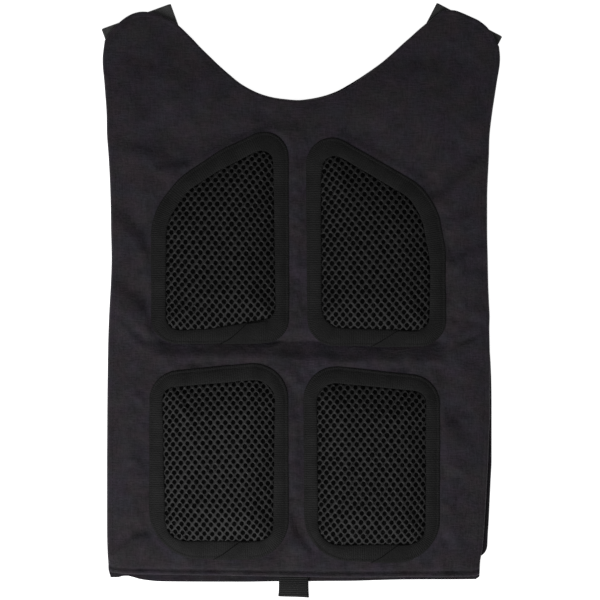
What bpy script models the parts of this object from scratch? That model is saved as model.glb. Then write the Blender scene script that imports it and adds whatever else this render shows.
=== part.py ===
"""One half of an armor carrier vest, lying flat with its body side up.

Metres, +Z up. +Y runs to the shoulders, +X is the right-hand side seen from above, and the
origin is on the surface that the vest lies on, in the middle of its outline. The fabric walls
are sheets bent by short functions, so each piece is one closed solid of real cloth thickness.
"""

import math

import bmesh
import bpy
import numpy as np

# Cloth, webbing and clearances
CLOTH = 0.0016
WING_CLOTH = 0.0030
WEBBING = 0.0015
GAP = 0.0003

# The stack of layers, from the surface up. A strap folded in half is as thick as a wing
FOLD_SLIT = 0.0004
STRAP_CLOTH = (WING_CLOTH - FOLD_SLIT) / 2
EDGE_LIFT = WING_CLOTH + 1.5 * GAP
POCKET_HEIGHT = 0.0085
SEAM_TOP = EDGE_LIFT + 2 * CLOTH + GAP
CREST = EDGE_LIFT + CLOTH + POCKET_HEIGHT + CLOTH

# Seams and soft edges
SEAM_LIP = 0.005
EDGE_RISE = 0.017
MOUTH_RUN = 0.015
MOUTH_DROP = 0.0020
SHOULDER_TAPER_FROM = 0.150
SHOULDER_TAPER_TO = 0.245
SHOULDER_SLIMMING = 0.62
LIFT_FLAT = 0.017
LIFT_RAMP = 0.030

# Side seams of both walls, from the hem to the armholes
SIDE_SEAMS = {
    "y": (-0.2373, -0.2235, -0.2150, -0.1890, -0.1460, -0.0850, -0.0480, -0.0360, -0.0230, -0.0130, -0.0020,
          0.0120, 0.0354, 0.0613, 0.0872, 0.1260, 0.1433, 0.1605, 0.1864, 0.2097, 0.2244),
    "left": (-0.1645, -0.1645, -0.1644, -0.1643, -0.1643, -0.1638, -0.1635, -0.1637, -0.1657, -0.1660, -0.1655,
             -0.1644, -0.1635, -0.1640, -0.1644, -0.1663, -0.1678, -0.1682, -0.1701, -0.1717, -0.1700),
    "right": (0.1537, 0.1539, 0.1549, 0.1579, 0.1598, 0.1600, 0.1596, 0.1597, 0.1613, 0.1616, 0.1611,
              0.1605, 0.1600, 0.1595, 0.1595, 0.1610, 0.1616, 0.1636, 0.1675, 0.1706, 0.1690),
}

# Shoulder tips and scoop neck, from the left armhole to the right one
TOP_EDGE = {
    "x": (-0.1700, -0.1640, -0.1579, -0.1484, -0.1398, -0.1295, -0.1200, -0.1087, -0.0967, -0.0880, -0.0794, -0.0708,
          -0.0621, -0.0535, -0.0449, -0.0362, -0.0276, -0.0132, -0.0009, 0.0095, 0.0242, 0.0328, 0.0414, 0.0501,
          0.0587, 0.0673, 0.0759, 0.0846, 0.0932, 0.1018, 0.1105, 0.1160, 0.1225, 0.1303, 0.1370, 0.1450, 0.1536,
          0.1605, 0.1657, 0.1690),
    "y": (0.2244, 0.2330, 0.2395, 0.2464, 0.2491, 0.2485, 0.2451, 0.2391, 0.2281, 0.2192, 0.2111, 0.2028,
          0.1950, 0.1879, 0.1827, 0.1787, 0.1760, 0.1737, 0.1730, 0.1741, 0.1776, 0.1811, 0.1861, 0.1917,
          0.1980, 0.2045, 0.2119, 0.2196, 0.2270, 0.2347, 0.2418, 0.2462, 0.2505, 0.2506, 0.2486, 0.2451, 0.2408,
          0.2347, 0.2270, 0.2192),
}

# Hems: the outer wall hangs a little lower, and its left corner is turned up
INNER_HEM = {"x": (-0.1650, -0.1590, -0.1450, 0.0000, 0.1536), "y": (-0.2335, -0.2350, -0.2362, -0.2370, -0.2373)}
OUTER_HEM = {
    "x": (-0.1650, -0.1571, -0.1519, -0.1467, -0.1415, -0.1312, -0.1182, -0.0276, 0.0414, 0.0846, 0.1538),
    "y": (-0.2386, -0.2378, -0.2364, -0.2372, -0.2387, -0.2403, -0.2411, -0.2414, -0.2406, -0.2396, -0.2393),
}

# Grid lines of the walls gather at the dents between the pads
CENTRE_LINE = -0.0035
VALLEY_LINE = -0.0450

# Main dents of the body side: a soft fold from one point to the other
FOLDS = (
    {"x": (-0.112, 0.118), "y": (-0.0440, -0.0470), "width": 0.011, "height": -0.0028},
    {"x": (-0.0035, -0.0035), "y": (0.150, -0.020), "width": 0.008, "height": -0.0012},
    {"x": (-0.0050, -0.0050), "y": (-0.070, -0.205), "width": 0.008, "height": -0.0012},
    {"x": (-0.160, -0.100), "y": (0.138, 0.134), "width": 0.010, "height": -0.0014},
    {"x": (-0.158, -0.134), "y": (0.068, 0.022), "width": 0.009, "height": -0.0013},
    {"x": (0.155, 0.120), "y": (-0.026, -0.048), "width": 0.009, "height": -0.0014},
    {"x": (0.112, 0.154), "y": (0.100, 0.090), "width": 0.010, "height": -0.0012},
    {"x": (-0.163, -0.138), "y": (-0.212, -0.188), "width": 0.008, "height": -0.0014},
)

# Mesh pads and the binding tape round them: corners of the tape's outer edge, and corners of the
# opening inside the tape, which the pad fills. Both run counter-clockwise from the lower left
TAPE_THICKNESS = 0.0016
PAD_CREST = 0.0085
PADS = (
    {
        "name": "upper_left", "x": -0.0703, "y": 0.0538,
        "tape": (
            {"x": -0.1295, "y": -0.0374, "radius": 0.0233},
            {"x": -0.0110, "y": -0.0354, "radius": 0.0207},
            {"x": -0.0119, "y": 0.1568, "radius": 0.0207},
            {"x": -0.0701, "y": 0.1290, "radius": 0.0777},
            {"x": -0.1068, "y": 0.1070, "radius": 0.0345},
            {"x": -0.1295, "y": 0.0748, "radius": 0.0432},
        ),
        "opening": (
            {"x": -0.1167, "y": -0.0246, "radius": 0.0112},
            {"x": -0.0811, "y": -0.0240, "radius": 0.0518},
            {"x": -0.0224, "y": -0.0138, "radius": 0.0104},
            {"x": -0.0249, "y": 0.1351, "radius": 0.0104},
            {"x": -0.0708, "y": 0.1122, "radius": 0.0777},
            {"x": -0.0989, "y": 0.0954, "radius": 0.0302},
            {"x": -0.1167, "y": 0.0694, "radius": 0.0345},
        ),
    },
    {
        "name": "upper_right", "x": 0.0634, "y": 0.0504,
        "tape": (
            {"x": 0.0047, "y": -0.0383, "radius": 0.0233},
            {"x": 0.1232, "y": -0.0390, "radius": 0.0224},
            {"x": 0.1232, "y": 0.0420, "radius": 0.0863},
            {"x": 0.1169, "y": 0.0775, "radius": 0.0518},
            {"x": 0.1027, "y": 0.0988, "radius": 0.0259},
            {"x": 0.0033, "y": 0.1563, "radius": 0.0224},
        ),
        "opening": (
            {"x": 0.0171, "y": -0.0220, "radius": 0.0121},
            {"x": 0.1096, "y": -0.0255, "radius": 0.0121},
            {"x": 0.1096, "y": 0.0356, "radius": 0.0777},
            {"x": 0.1030, "y": 0.0699, "radius": 0.0518},
            {"x": 0.0918, "y": 0.0888, "radius": 0.0302},
            {"x": 0.0160, "y": 0.1326, "radius": 0.0104},
        ),
    },
    {
        "name": "lower_left", "x": -0.0714, "y": -0.1373,
        "tape": (
            {"x": -0.1312, "y": -0.2211, "radius": 0.0432},
            {"x": -0.0116, "y": -0.2211, "radius": 0.0328},
            {"x": -0.0119, "y": -0.0502, "radius": 0.0311},
            {"x": -0.1308, "y": -0.0621, "radius": 0.0259},
        ),
        "opening": (
            {"x": -0.1182, "y": -0.2076, "radius": 0.0276},
            {"x": -0.0238, "y": -0.2076, "radius": 0.0216},
            {"x": -0.0230, "y": -0.0664, "radius": 0.0173},
            {"x": -0.1198, "y": -0.0744, "radius": 0.0104},
        ),
    },
    {
        "name": "lower_right", "x": 0.0597, "y": -0.1398,
        "tape": (
            {"x": 0.0022, "y": -0.2235, "radius": 0.0397},
            {"x": 0.1181, "y": -0.2235, "radius": 0.0362},
            {"x": 0.1182, "y": -0.0658, "radius": 0.0259},
            {"x": 0.0009, "y": -0.0525, "radius": 0.0293},
        ),
        "opening": (
            {"x": 0.0138, "y": -0.2114, "radius": 0.0224},
            {"x": 0.1057, "y": -0.2114, "radius": 0.0259},
            {"x": 0.1065, "y": -0.0789, "radius": 0.0104},
            {"x": 0.0128, "y": -0.0714, "radius": 0.0155},
        ),
    },
)
# A pad's section: share of the way to its edge, and share of its height
PAD_SECTION = {
    "out": (0.0, 0.42, 0.70, 0.88, 0.97, 1.0, 1.0, 0.5, 0.0),
    "up": (1.0, 0.98, 0.90, 0.70, 0.48, 0.22, 0.0, 0.0, 0.0),
}
CORNER_TURN = math.radians(20.0)
SIDE_STEPS = 2
PAD_MARGIN = 0.004
PAD_BLEND = 0.007

# Shoulder straps: middle of the folded edge, and the turn of the strap about +Z
STRAP_WIDTH = 0.0635
STRAP_LENGTH = 0.088
STRAPS = (
    {"name": "shoulder_strap_left", "x": -0.1429, "y": 0.2458, "turn": 19.7},
    {"name": "shoulder_strap_right", "x": 0.1442, "y": 0.2425, "turn": -27.2},
)

# Side wings, folded back under the vest
WING_TOP = -0.022
WING_BOTTOM = -0.2225
WING_INNER = 0.067
WING_CORNER = 0.010
WING_BEND = 0.0018
WING_FLAT_STEPS = 7
WING_BEND_STEPS = 3
WING_ROWS = 10
WING_HOOK = SEAM_TOP

# Webbing pull tab, sewn to the outer wall inside the mouth
TAB_WIDTH = 0.0254
TAB_X = -0.0072
TAB_END = -0.2559
TAB_ROOT = -0.2180
TAB_DROOP = 0.0010
TAB_DROOP_FROM = -0.2440
TAB_LIFT = 0.0005

COLOURS = {
    "carrier_cloth": {"colour": (0.021, 0.018, 0.022), "roughness": 0.85},
    "spacer_mesh": {"colour": (0.016, 0.016, 0.016), "roughness": 0.75},
    "binding_tape": {"colour": (0.012, 0.012, 0.012), "roughness": 0.80},
    "hook_and_loop": {"colour": (0.020, 0.019, 0.020), "roughness": 0.95},
    "webbing": {"colour": (0.017, 0.017, 0.018), "roughness": 0.70},
}


def smooth(share):
    """Eased step: 0 below 0, 1 above 1."""
    share = np.clip(share, 0.0, 1.0)
    return share * share * (3.0 - 2.0 * share)


def along(table, key, value, at):
    """Smooth curve through a table's rows that doesn't overshoot, read at one value or at many."""
    knots = np.array(table[key])
    values = np.array(table[value])
    steps = np.abs(np.diff(values) / np.diff(knots))
    limits = 3.0 * np.minimum(np.append(steps, steps[-1]), np.insert(steps, 0, steps[0]))
    slopes = np.clip(np.gradient(values, knots), -limits, limits)
    at = np.clip(at, knots[0], knots[-1])
    row = np.clip(np.searchsorted(knots, at, side="right") - 1, 0, len(knots) - 2)
    width = knots[row + 1] - knots[row]
    t = (at - knots[row]) / width
    near, far = values[row], values[row + 1]
    rise = (2 * t**3 - 3 * t**2 + 1) * near + (3 * t**2 - 2 * t**3) * far
    lean = (t**3 - 2 * t**2 + t) * slopes[row] + (t**3 - t**2) * slopes[row + 1]
    return rise + lean * width


def rounded_outline(corners, inset=0.0):
    """Points of a polygon moved in by a distance, counter-clockwise, with each corner an arc."""
    spots = [np.array((corner["x"], corner["y"])) for corner in corners]
    arcs = []
    for index, corner in enumerate(corners):
        here = spots[index]
        back = spots[index - 1] - here
        ahead = spots[(index + 1) % len(spots)] - here
        back /= np.linalg.norm(back)
        ahead /= np.linalg.norm(ahead)
        half = math.acos(float(back @ ahead)) / 2
        middle = (back + ahead) / np.linalg.norm(back + ahead)
        centre = here + middle * corner["radius"] / math.sin(half)
        sweep = math.pi - 2 * half
        start = math.atan2(-middle[1], -middle[0]) - sweep / 2
        steps = max(2, math.ceil(sweep / CORNER_TURN))
        angles = [start + sweep * step / steps for step in range(steps + 1)]
        reach = corner["radius"] - inset
        arcs.append([centre + reach * np.array((math.cos(angle), math.sin(angle))) for angle in angles])
    points = []
    for arc, next_arc in zip(arcs, arcs[1:] + arcs[:1]):
        points += arc
        for step in range(1, SIDE_STEPS):
            points.append(arc[-1] + (next_arc[0] - arc[-1]) * step / SIDE_STEPS)
    return np.array(points)


def reach_of(outline, centre, angle):
    """Distance from a centre to an outline round it, in a direction."""
    arms = outline - centre
    angles = np.arctan2(arms[:, 1], arms[:, 0])
    order = np.argsort(angles)
    angles, arms = angles[order], arms[order]
    nexts = np.roll(arms, -1, axis=0)
    row = np.searchsorted(angles, angle, side="right") - 1
    near, far = arms[row], nexts[row]
    way = np.stack((np.cos(angle), np.sin(angle)), axis=-1)
    edge = far - near
    return (near[..., 0] * edge[..., 1] - near[..., 1] * edge[..., 0]) / (
        way[..., 0] * edge[..., 1] - way[..., 1] * edge[..., 0]
    )


def seam_line():
    """Points along the closed seam: up the left side, round the top, down the right side."""
    up = np.linspace(SIDE_SEAMS["y"][0], TOP_EDGE["y"][0], 40)
    over = np.linspace(TOP_EDGE["x"][0], TOP_EDGE["x"][-1], 140)
    down = np.linspace(TOP_EDGE["y"][-1], SIDE_SEAMS["y"][0], 40)
    left = np.stack((along(SIDE_SEAMS, "y", "left", up), up), axis=1)
    top = np.stack((over, along(TOP_EDGE, "x", "y", over)), axis=1)
    right = np.stack((along(SIDE_SEAMS, "y", "right", down), down), axis=1)
    return np.concatenate((left, top, right))


def distance_to(line, x, y):
    """Shortest distance from each point to a line of short straight pieces."""
    starts, ends = line[:-1], line[1:]
    pieces = ends - starts
    lengths = np.maximum((pieces**2).sum(axis=1), 1e-12)
    points = np.stack((x, y), axis=1)
    offsets = points[:, None, :] - starts[None, :, :]
    share = np.clip((offsets * pieces).sum(axis=2) / lengths, 0.0, 1.0)
    return np.linalg.norm(offsets - share[..., None] * pieces, axis=2).min(axis=1)


def over_wings(x, y):
    """1 over the folded wings, easing to 0 beside them."""
    across = smooth((np.abs(x) - WING_INNER + LIFT_FLAT + LIFT_RAMP) / LIFT_RAMP)
    return across * smooth((WING_TOP + LIFT_FLAT + LIFT_RAMP - y) / LIFT_RAMP)


def over_straps(x, y):
    """1 over the folded shoulder straps, easing to 0 beside them."""
    over = np.zeros_like(x)
    for strap in STRAPS:
        turn = math.radians(strap["turn"])
        dx, dy = x - strap["x"], y - strap["y"]
        across = np.abs(dx * math.cos(turn) + dy * math.sin(turn)) - STRAP_WIDTH / 2
        down = dx * math.sin(turn) - dy * math.cos(turn) - STRAP_LENGTH
        outside = np.hypot(np.maximum(across, 0.0), np.maximum(down, 0.0))
        over = np.maximum(over, smooth(1.0 - (outside - LIFT_FLAT) / LIFT_RAMP))
    return over


def outer_under(x, y):
    """Underside of the outer wall: its seams, wings and straps hold it up, and its middle lies down."""
    edge = smooth(1.0 - (distance_to(seam_line(), x, y) - LIFT_FLAT) / LIFT_RAMP)
    return EDGE_LIFT * np.maximum(edge, np.maximum(over_wings(x, y), over_straps(x, y)))


def pad_cover(x, y):
    """1 under a pad and its tape, easing to 0 beside them, so that the pads lie on flat cloth."""
    cover = np.zeros_like(x)
    for pad in PADS:
        centre = np.array((pad["x"], pad["y"]))
        dx, dy = x - centre[0], y - centre[1]
        reach = reach_of(rounded_outline(pad["tape"]), centre, np.arctan2(dy, dx))
        beyond = np.hypot(dx, dy) - reach - PAD_MARGIN
        cover = np.maximum(cover, smooth(1.0 - beyond / PAD_BLEND))
    return cover


def fold_height(x, y):
    """Sum of the body side's dents."""
    total = np.zeros_like(x)
    for fold in FOLDS:
        start = np.array((fold["x"][0], fold["y"][0]))
        end = np.array((fold["x"][1], fold["y"][1]))
        away = distance_to(np.array((start, end)), x, y) / fold["width"]
        total += fold["height"] * np.exp(-away * away)
    return total


def inner_top(x, y):
    """Top of the inner wall: flat seam lips, a soft rise, a level crest and shallow folds."""
    rise = smooth((distance_to(seam_line(), x, y) - SEAM_LIP) / EDGE_RISE)
    taper = (y - SHOULDER_TAPER_FROM) / (SHOULDER_TAPER_TO - SHOULDER_TAPER_FROM)
    crest = (CREST - SEAM_TOP) * (1.0 - SHOULDER_SLIMMING * smooth(taper))
    crest -= MOUTH_DROP * smooth(1.0 - (y - along(INNER_HEM, "x", "y", x)) / MOUTH_RUN)
    crest += fold_height(x, y) * (1.0 - pad_cover(x, y))
    return SEAM_TOP + rise * crest


def closer_at_ends(share, amount=0.55):
    """Spreads grid lines so that they are closer together near both ends."""
    return (1.0 - amount) * share + amount * 0.5 * (1.0 - np.cos(math.pi * share))


def closer_at_fold(share, low, fold, high, fold_share):
    """Spreads grid lines from low to high, closer together at both ends and at a fold."""
    before = low + closer_at_ends(share / fold_share) * (fold - low)
    after = fold + closer_at_ends((share - fold_share) / (1.0 - fold_share)) * (high - fold)
    return np.where(share < fold_share, before, after)


def wall_spots(across, up, hem, fold_share):
    """Places on a wall's outline for shares of its width and height."""
    top_left, top_right = TOP_EDGE["x"][0], TOP_EDGE["x"][-1]
    side = (closer_at_fold(across, top_left, CENTRE_LINE, top_right, 0.5) - top_left) / (top_right - top_left)
    top_y = along(TOP_EDGE, "x", "y", top_left + side * (top_right - top_left))
    low_left, low_right = SIDE_SEAMS["left"][0], SIDE_SEAMS["right"][0]
    low_y = along(hem, "x", "y", low_left + side * (low_right - low_left))
    y = closer_at_fold(up, low_y, VALLEY_LINE, top_y, fold_share)
    left = along(SIDE_SEAMS, "y", "left", y)
    right = along(SIDE_SEAMS, "y", "right", y)
    return left + side * (right - left), y


def material(slot):
    """Principled material of one slot, made once."""
    made = bpy.data.materials.get(slot)
    if made is None:
        made = bpy.data.materials.new(slot)
        made.use_nodes = True
        shader = made.node_tree.nodes["Principled BSDF"]
        shader.inputs["Base Color"].default_value = (*COLOURS[slot]["colour"], 1.0)
        shader.inputs["Roughness"].default_value = COLOURS[slot]["roughness"]
        shader.inputs["Metallic"].default_value = 0.0
    return made


def add_object(name, data, slot):
    """Puts mesh or curve data into the vest's collection as a named piece."""
    data.materials.append(material(slot))
    piece = bpy.data.objects.new(name, data)
    vest.objects.link(piece)
    return piece


def add_sheet(name, slot, columns, rows, place, thickness, offset, flip=False):
    """Cloth piece: a grid moved into place by a function, thickened by Solidify."""
    shape = bmesh.new()
    bmesh.ops.create_grid(shape, x_segments=columns, y_segments=rows, size=1.0)
    shares = np.array([(vertex.co.x, vertex.co.y) for vertex in shape.verts]) / 2 + 0.5
    for vertex, spot in zip(shape.verts, place(shares[:, 0], shares[:, 1])):
        vertex.co = spot
    if flip:
        bmesh.ops.reverse_faces(shape, faces=shape.faces)
    mesh = bpy.data.meshes.new(name)
    shape.to_mesh(mesh)
    shape.free()
    mesh.shade_smooth()
    piece = add_object(name, mesh, slot)
    thick = piece.modifiers.new("thickness", "SOLIDIFY")
    thick.thickness = thickness
    thick.offset = offset
    return piece


def wall_place(hem, height, fold_share):
    """Placing function of a wall whose surface has the height given."""

    def place(across, up):
        x, y = wall_spots(across, up, hem, fold_share)
        return np.stack((x, y, height(x, y)), axis=1)

    return place


def add_walls():
    """Inner and outer fabric walls, which make the armor pocket between them."""
    inner = wall_place(INNER_HEM, inner_top, 16 / 38)
    outer = wall_place(OUTER_HEM, outer_under, 12 / 30)
    add_sheet("inner_panel", "carrier_cloth", 32, 38, inner, CLOTH, -1.0)
    add_sheet("outer_panel", "carrier_cloth", 18, 30, outer, CLOTH, 1.0)


def add_pad(pad):
    """One spacer-mesh pad: a sphere reshaped to the pad's outline and section."""
    outline = rounded_outline(pad["opening"], GAP)
    levels = len(PAD_SECTION["out"]) - 1
    shape = bmesh.new()
    bmesh.ops.create_uvsphere(shape, u_segments=len(outline), v_segments=levels, radius=1.0)
    centre = np.array((pad["x"], pad["y"]))
    for vertex in shape.verts:
        level = round(math.acos(max(-1.0, min(1.0, vertex.co.z))) / math.pi * levels)
        spoke = round(math.atan2(vertex.co.y, vertex.co.x) / math.tau * len(outline)) % len(outline)
        spot = centre + PAD_SECTION["out"][level] * (outline[spoke] - centre)
        vertex.co = (spot[0], spot[1], CREST + GAP + PAD_SECTION["up"][level] * PAD_CREST)
    mesh = bpy.data.meshes.new("mesh_pad_" + pad["name"])
    shape.to_mesh(mesh)
    shape.free()
    mesh.shade_smooth()
    add_object(mesh.name, mesh, "spacer_mesh")


def add_binding(pad):
    """Binding tape round one pad: a flat curve outline with the mesh opening inside it."""
    curve = bpy.data.curves.new("binding_" + pad["name"], "CURVE")
    curve.dimensions = "2D"
    curve.fill_mode = "BOTH"
    curve.extrude = TAPE_THICKNESS / 2
    for edge in ("tape", "opening"):
        points = rounded_outline(pad[edge])
        spline = curve.splines.new("POLY")
        spline.points.add(len(points) - 1)
        for point, (x, y) in zip(spline.points, points):
            point.co = (x, y, 0.0, 1.0)
        spline.use_cyclic_u = True
    tape = add_object(curve.name, curve, "binding_tape")
    tape.location.z = CREST + GAP + TAPE_THICKNESS / 2


def folded_path(share, length, radius, centre_height):
    """Way along a strap folded in half, as (distance from the fold's tip, height)."""
    straight = length - radius
    total = 2 * straight + math.pi * radius
    run = share * total
    if run < straight:
        return length - run, centre_height + radius
    if run > straight + math.pi * radius:
        return run - straight - math.pi * radius + radius, centre_height - radius
    angle = (run - straight) / radius
    return radius * (1.0 - math.sin(angle)), centre_height + radius * math.cos(angle)


def fold_share(row, rows, fold_rows, length, radius):
    """Share along the folded path for a grid row, with more rows round the fold."""
    straight = (length - radius) / (2 * (length - radius) + math.pi * radius)
    side_rows = (rows - fold_rows) / 2
    if row <= side_rows:
        return straight * row / side_rows
    if row >= side_rows + fold_rows:
        return 1.0 - straight * (rows - row) / side_rows
    return straight + (1.0 - 2 * straight) * (row - side_rows) / fold_rows


def add_shoulder_strap(strap):
    """Hook-and-loop strap, folded in half behind one shoulder."""
    rows, fold_rows = 12, 6
    radius = (STRAP_CLOTH + FOLD_SLIT) / 2
    length = STRAP_LENGTH - STRAP_CLOTH / 2
    turn = math.radians(strap["turn"])

    def place(across, up):
        spots = []
        for a, u in zip(across, up):
            share = fold_share(round(u * rows), rows, fold_rows, length, radius)
            down, height = folded_path(share, length, radius, WING_CLOTH / 2)
            down += STRAP_CLOTH / 2
            side = (a - 0.5) * STRAP_WIDTH
            x = strap["x"] + side * math.cos(turn) + down * math.sin(turn)
            y = strap["y"] + side * math.sin(turn) - down * math.cos(turn)
            spots.append((x, y, height))
        return np.array(spots)

    add_sheet(strap["name"], "hook_and_loop", 1, rows, place, STRAP_CLOTH, 0.0)


def wing_section(step, width):
    """Way across a wing, as (distance in from its outer skin, height of its middle)."""
    half = WING_CLOTH / 2
    if step <= WING_FLAT_STEPS:
        share = float(closer_at_ends(step / WING_FLAT_STEPS))
        return width - share * (width - WING_BEND), half
    turn = min(step - WING_FLAT_STEPS, WING_BEND_STEPS) / WING_BEND_STEPS * math.pi / 2
    if step > WING_FLAT_STEPS + WING_BEND_STEPS:
        return 0.0, WING_HOOK
    return WING_BEND * (1.0 - math.sin(turn)), half + WING_BEND * (1.0 - math.cos(turn))


def add_side_wing(name, side):
    """Side wing: flat under the vest, and bent up round the side seam that it is sewn to."""
    edge_key = "right" if side > 0 else "left"
    half = WING_CLOTH / 2
    steps = WING_FLAT_STEPS + WING_BEND_STEPS + 1
    middle = (WING_TOP + WING_BOTTOM) / 2

    def place(across, up):
        spots = []
        for a, u in zip(across, up):
            y = WING_BOTTOM + float(closer_at_ends(u)) * (WING_TOP - WING_BOTTOM)
            seam = abs(float(along(SIDE_SEAMS, "y", edge_key, y)))
            width = seam + GAP + half - WING_INNER - half
            inwards, height = wing_section(round(a * steps), width)
            short = max(WING_CORNER - min(inwards, width - inwards), 0.0)
            inset = WING_CORNER - math.sqrt(WING_CORNER**2 - short**2)
            y = middle + (y - middle) * (1.0 - 2 * inset / (WING_TOP - WING_BOTTOM))
            seam = abs(float(along(SIDE_SEAMS, "y", edge_key, y)))
            spots.append((side * (seam + GAP + half - inwards), y, height))
        return np.array(spots)

    add_sheet(name, "carrier_cloth", steps, WING_ROWS, place, WING_CLOTH, 0.0, flip=side < 0)


def add_pull_tab():
    """Webbing loop that lies in the pocket's mouth and shows below the hem."""
    rows, fold_rows = 20, 6
    radius = (WEBBING + FOLD_SLIT) / 2
    length = TAB_ROOT - TAB_END - WEBBING / 2
    base = CLOTH + TAB_LIFT + WEBBING + FOLD_SLIT / 2

    def place(across, up):
        spots = []
        for a, u in zip(across, up):
            share = fold_share(round(u * rows), rows, fold_rows, length, radius)
            back, height = folded_path(share, length, radius, base)
            y = TAB_END + WEBBING / 2 + back
            droop = TAB_DROOP * float(smooth((TAB_DROOP_FROM - y) / (TAB_DROOP_FROM - TAB_END)))
            spots.append((TAB_X + (a - 0.5) * TAB_WIDTH, y, height - droop))
        return np.array(spots)

    add_sheet("pull_tab", "webbing", 1, rows, place, WEBBING, 0.0, flip=True)


for old in list(bpy.data.objects):
    bpy.data.objects.remove(old)
vest = bpy.data.collections.new("armor_carrier_vest")
bpy.context.scene.collection.children.link(vest)

add_walls()
for each_pad in PADS:
    add_pad(each_pad)
    add_binding(each_pad)
for each_strap in STRAPS:
    add_shoulder_strap(each_strap)
add_side_wing("side_wing_left", -1)
add_side_wing("side_wing_right", 1)
add_pull_tab()
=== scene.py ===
# %% [markdown]
# # An armor carrier vest panel, laid down with its body side up
#
# The real thing is a flat black cloth carrier: two walls of cloth sewn together round three sides, with a
# pocket between them for a soft armor panel. On the body side sit four mesh pads, each bound round with
# ribbed tape. This lesson dresses a plain model of it. The plain model comes in as a frame that stays where
# it is, and every soft piece is made again with the wrinkles, stitches, mesh holes and weave that the plain
# one leaves out.

# %% Load the frame
import math
from collections import namedtuple

import bmesh
import bpy
import numpy as np
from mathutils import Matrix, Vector
from mathutils.bvhtree import BVHTree


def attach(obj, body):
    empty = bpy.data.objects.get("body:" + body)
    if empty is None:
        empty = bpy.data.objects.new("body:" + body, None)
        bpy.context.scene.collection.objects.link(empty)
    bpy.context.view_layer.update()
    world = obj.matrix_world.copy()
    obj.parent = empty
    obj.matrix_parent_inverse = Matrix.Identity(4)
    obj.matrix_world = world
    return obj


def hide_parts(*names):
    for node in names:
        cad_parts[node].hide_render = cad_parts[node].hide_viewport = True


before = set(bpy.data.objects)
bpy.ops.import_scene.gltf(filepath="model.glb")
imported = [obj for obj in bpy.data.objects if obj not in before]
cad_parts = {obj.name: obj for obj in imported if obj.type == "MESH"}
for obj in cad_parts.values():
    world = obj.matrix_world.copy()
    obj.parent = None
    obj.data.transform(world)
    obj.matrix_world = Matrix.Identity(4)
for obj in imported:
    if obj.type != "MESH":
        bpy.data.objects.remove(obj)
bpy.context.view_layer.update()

print("plain pieces:", sorted(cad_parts))

# %% [markdown]
# ## Camera, floor and light
#
# The photograph looks straight down on the vest from far off, so the camera hangs high above it with a long
# lens: a short lens close by would make the pads look larger than the edges. One picture pixel is 0.863 mm
# on the vest, and the picture is 600 pixels square. The vest lies on a white table that glows a little from
# within, as product tables do, so no shadow shows round it. One large soft lamp stands low on the hem's
# side, a little to the left: light that comes in at a slant is what makes black cloth, ribs and mesh
# readable.

# %% Camera
PIXEL = 0.000863
PICTURE = 600
ORIGIN_PX = (302.0, 301.0)
CAMERA_HEIGHT = 2.5
SENSOR = 36.0


def from_pixel(x, y):
    """Place on the vest of one pixel of the picture."""
    return (x - ORIGIN_PX[0]) * PIXEL, (ORIGIN_PX[1] - y) * PIXEL


middle_x, middle_y = from_pixel(PICTURE / 2, PICTURE / 2)
lens = bpy.data.cameras.new("camera")
lens.sensor_width = SENSOR
lens.lens = SENSOR * CAMERA_HEIGHT / (PIXEL * PICTURE)
lens.clip_end = 50
camera = bpy.data.objects.new("camera", lens)
camera.location = (middle_x, middle_y, CAMERA_HEIGHT)
bpy.context.scene.collection.objects.link(camera)
bpy.context.scene.camera = camera
bpy.context.scene.view_settings.view_transform = "Standard"
print("lens", round(lens.lens, 1), "mm, camera", CAMERA_HEIGHT, "m up")

# %% Floor and light
FLOOR_SIZE = 12.0
FLOOR_COLOUR = (0.60, 0.60, 0.605, 1.0)
FLOOR_GLOW = 0.86
SKY_STRENGTH = 0.37
LAMP_POWER = 37.0
LAMP_SIZE = 1.0
LAMP_PLACE = (-0.55, -1.25, 1.02)

floor_shape = bmesh.new()
bmesh.ops.create_circle(floor_shape, cap_ends=True, segments=96, radius=FLOOR_SIZE)
floor_mesh = bpy.data.meshes.new("floor")
floor_shape.to_mesh(floor_mesh)
floor_shape.free()
floor = bpy.data.objects.new("floor", floor_mesh)
bpy.context.scene.collection.objects.link(floor)
floor_finish = bpy.data.materials.new("floor paper")
floor_finish.use_nodes = True
floor_shader = floor_finish.node_tree.nodes["Principled BSDF"]
floor_shader.inputs["Base Color"].default_value = FLOOR_COLOUR
floor_shader.inputs["Roughness"].default_value = 0.9
floor_shader.inputs["Specular IOR Level"].default_value = 0.2
floor_shader.inputs["Emission Color"].default_value = (1.0, 1.0, 1.0, 1.0)
floor_shader.inputs["Emission Strength"].default_value = FLOOR_GLOW
floor_mesh.materials.append(floor_finish)

sky = bpy.data.worlds.new("sky")
sky.use_nodes = True
sky.node_tree.nodes["Background"].inputs["Color"].default_value = (1.0, 1.0, 1.0, 1.0)
sky.node_tree.nodes["Background"].inputs["Strength"].default_value = SKY_STRENGTH
bpy.context.scene.world = sky

lamp_data = bpy.data.lights.new("window", "AREA")
lamp_data.energy = LAMP_POWER
lamp_data.size = LAMP_SIZE
lamp = bpy.data.objects.new("window", lamp_data)
lamp.location = LAMP_PLACE
lamp.rotation_euler = (Vector((0, 0, 0)) - Vector(LAMP_PLACE)).to_track_quat("-Z", "Y").to_euler()
bpy.context.scene.collection.objects.link(lamp)
print("lamp", round(Vector(LAMP_PLACE).length, 2), "m away, on the hem's side")

# %% [markdown]
# ## Sizes of the real pieces
#
# The stack of layers, from the floor up, has the plain model's sizes. The outlines follow the photograph,
# in places a little more closely than the plain model does. A wall of cloth has no simple outline, so its
# sides and its top edge are tables, read as smooth curves that never overshoot between two rows.

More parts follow.
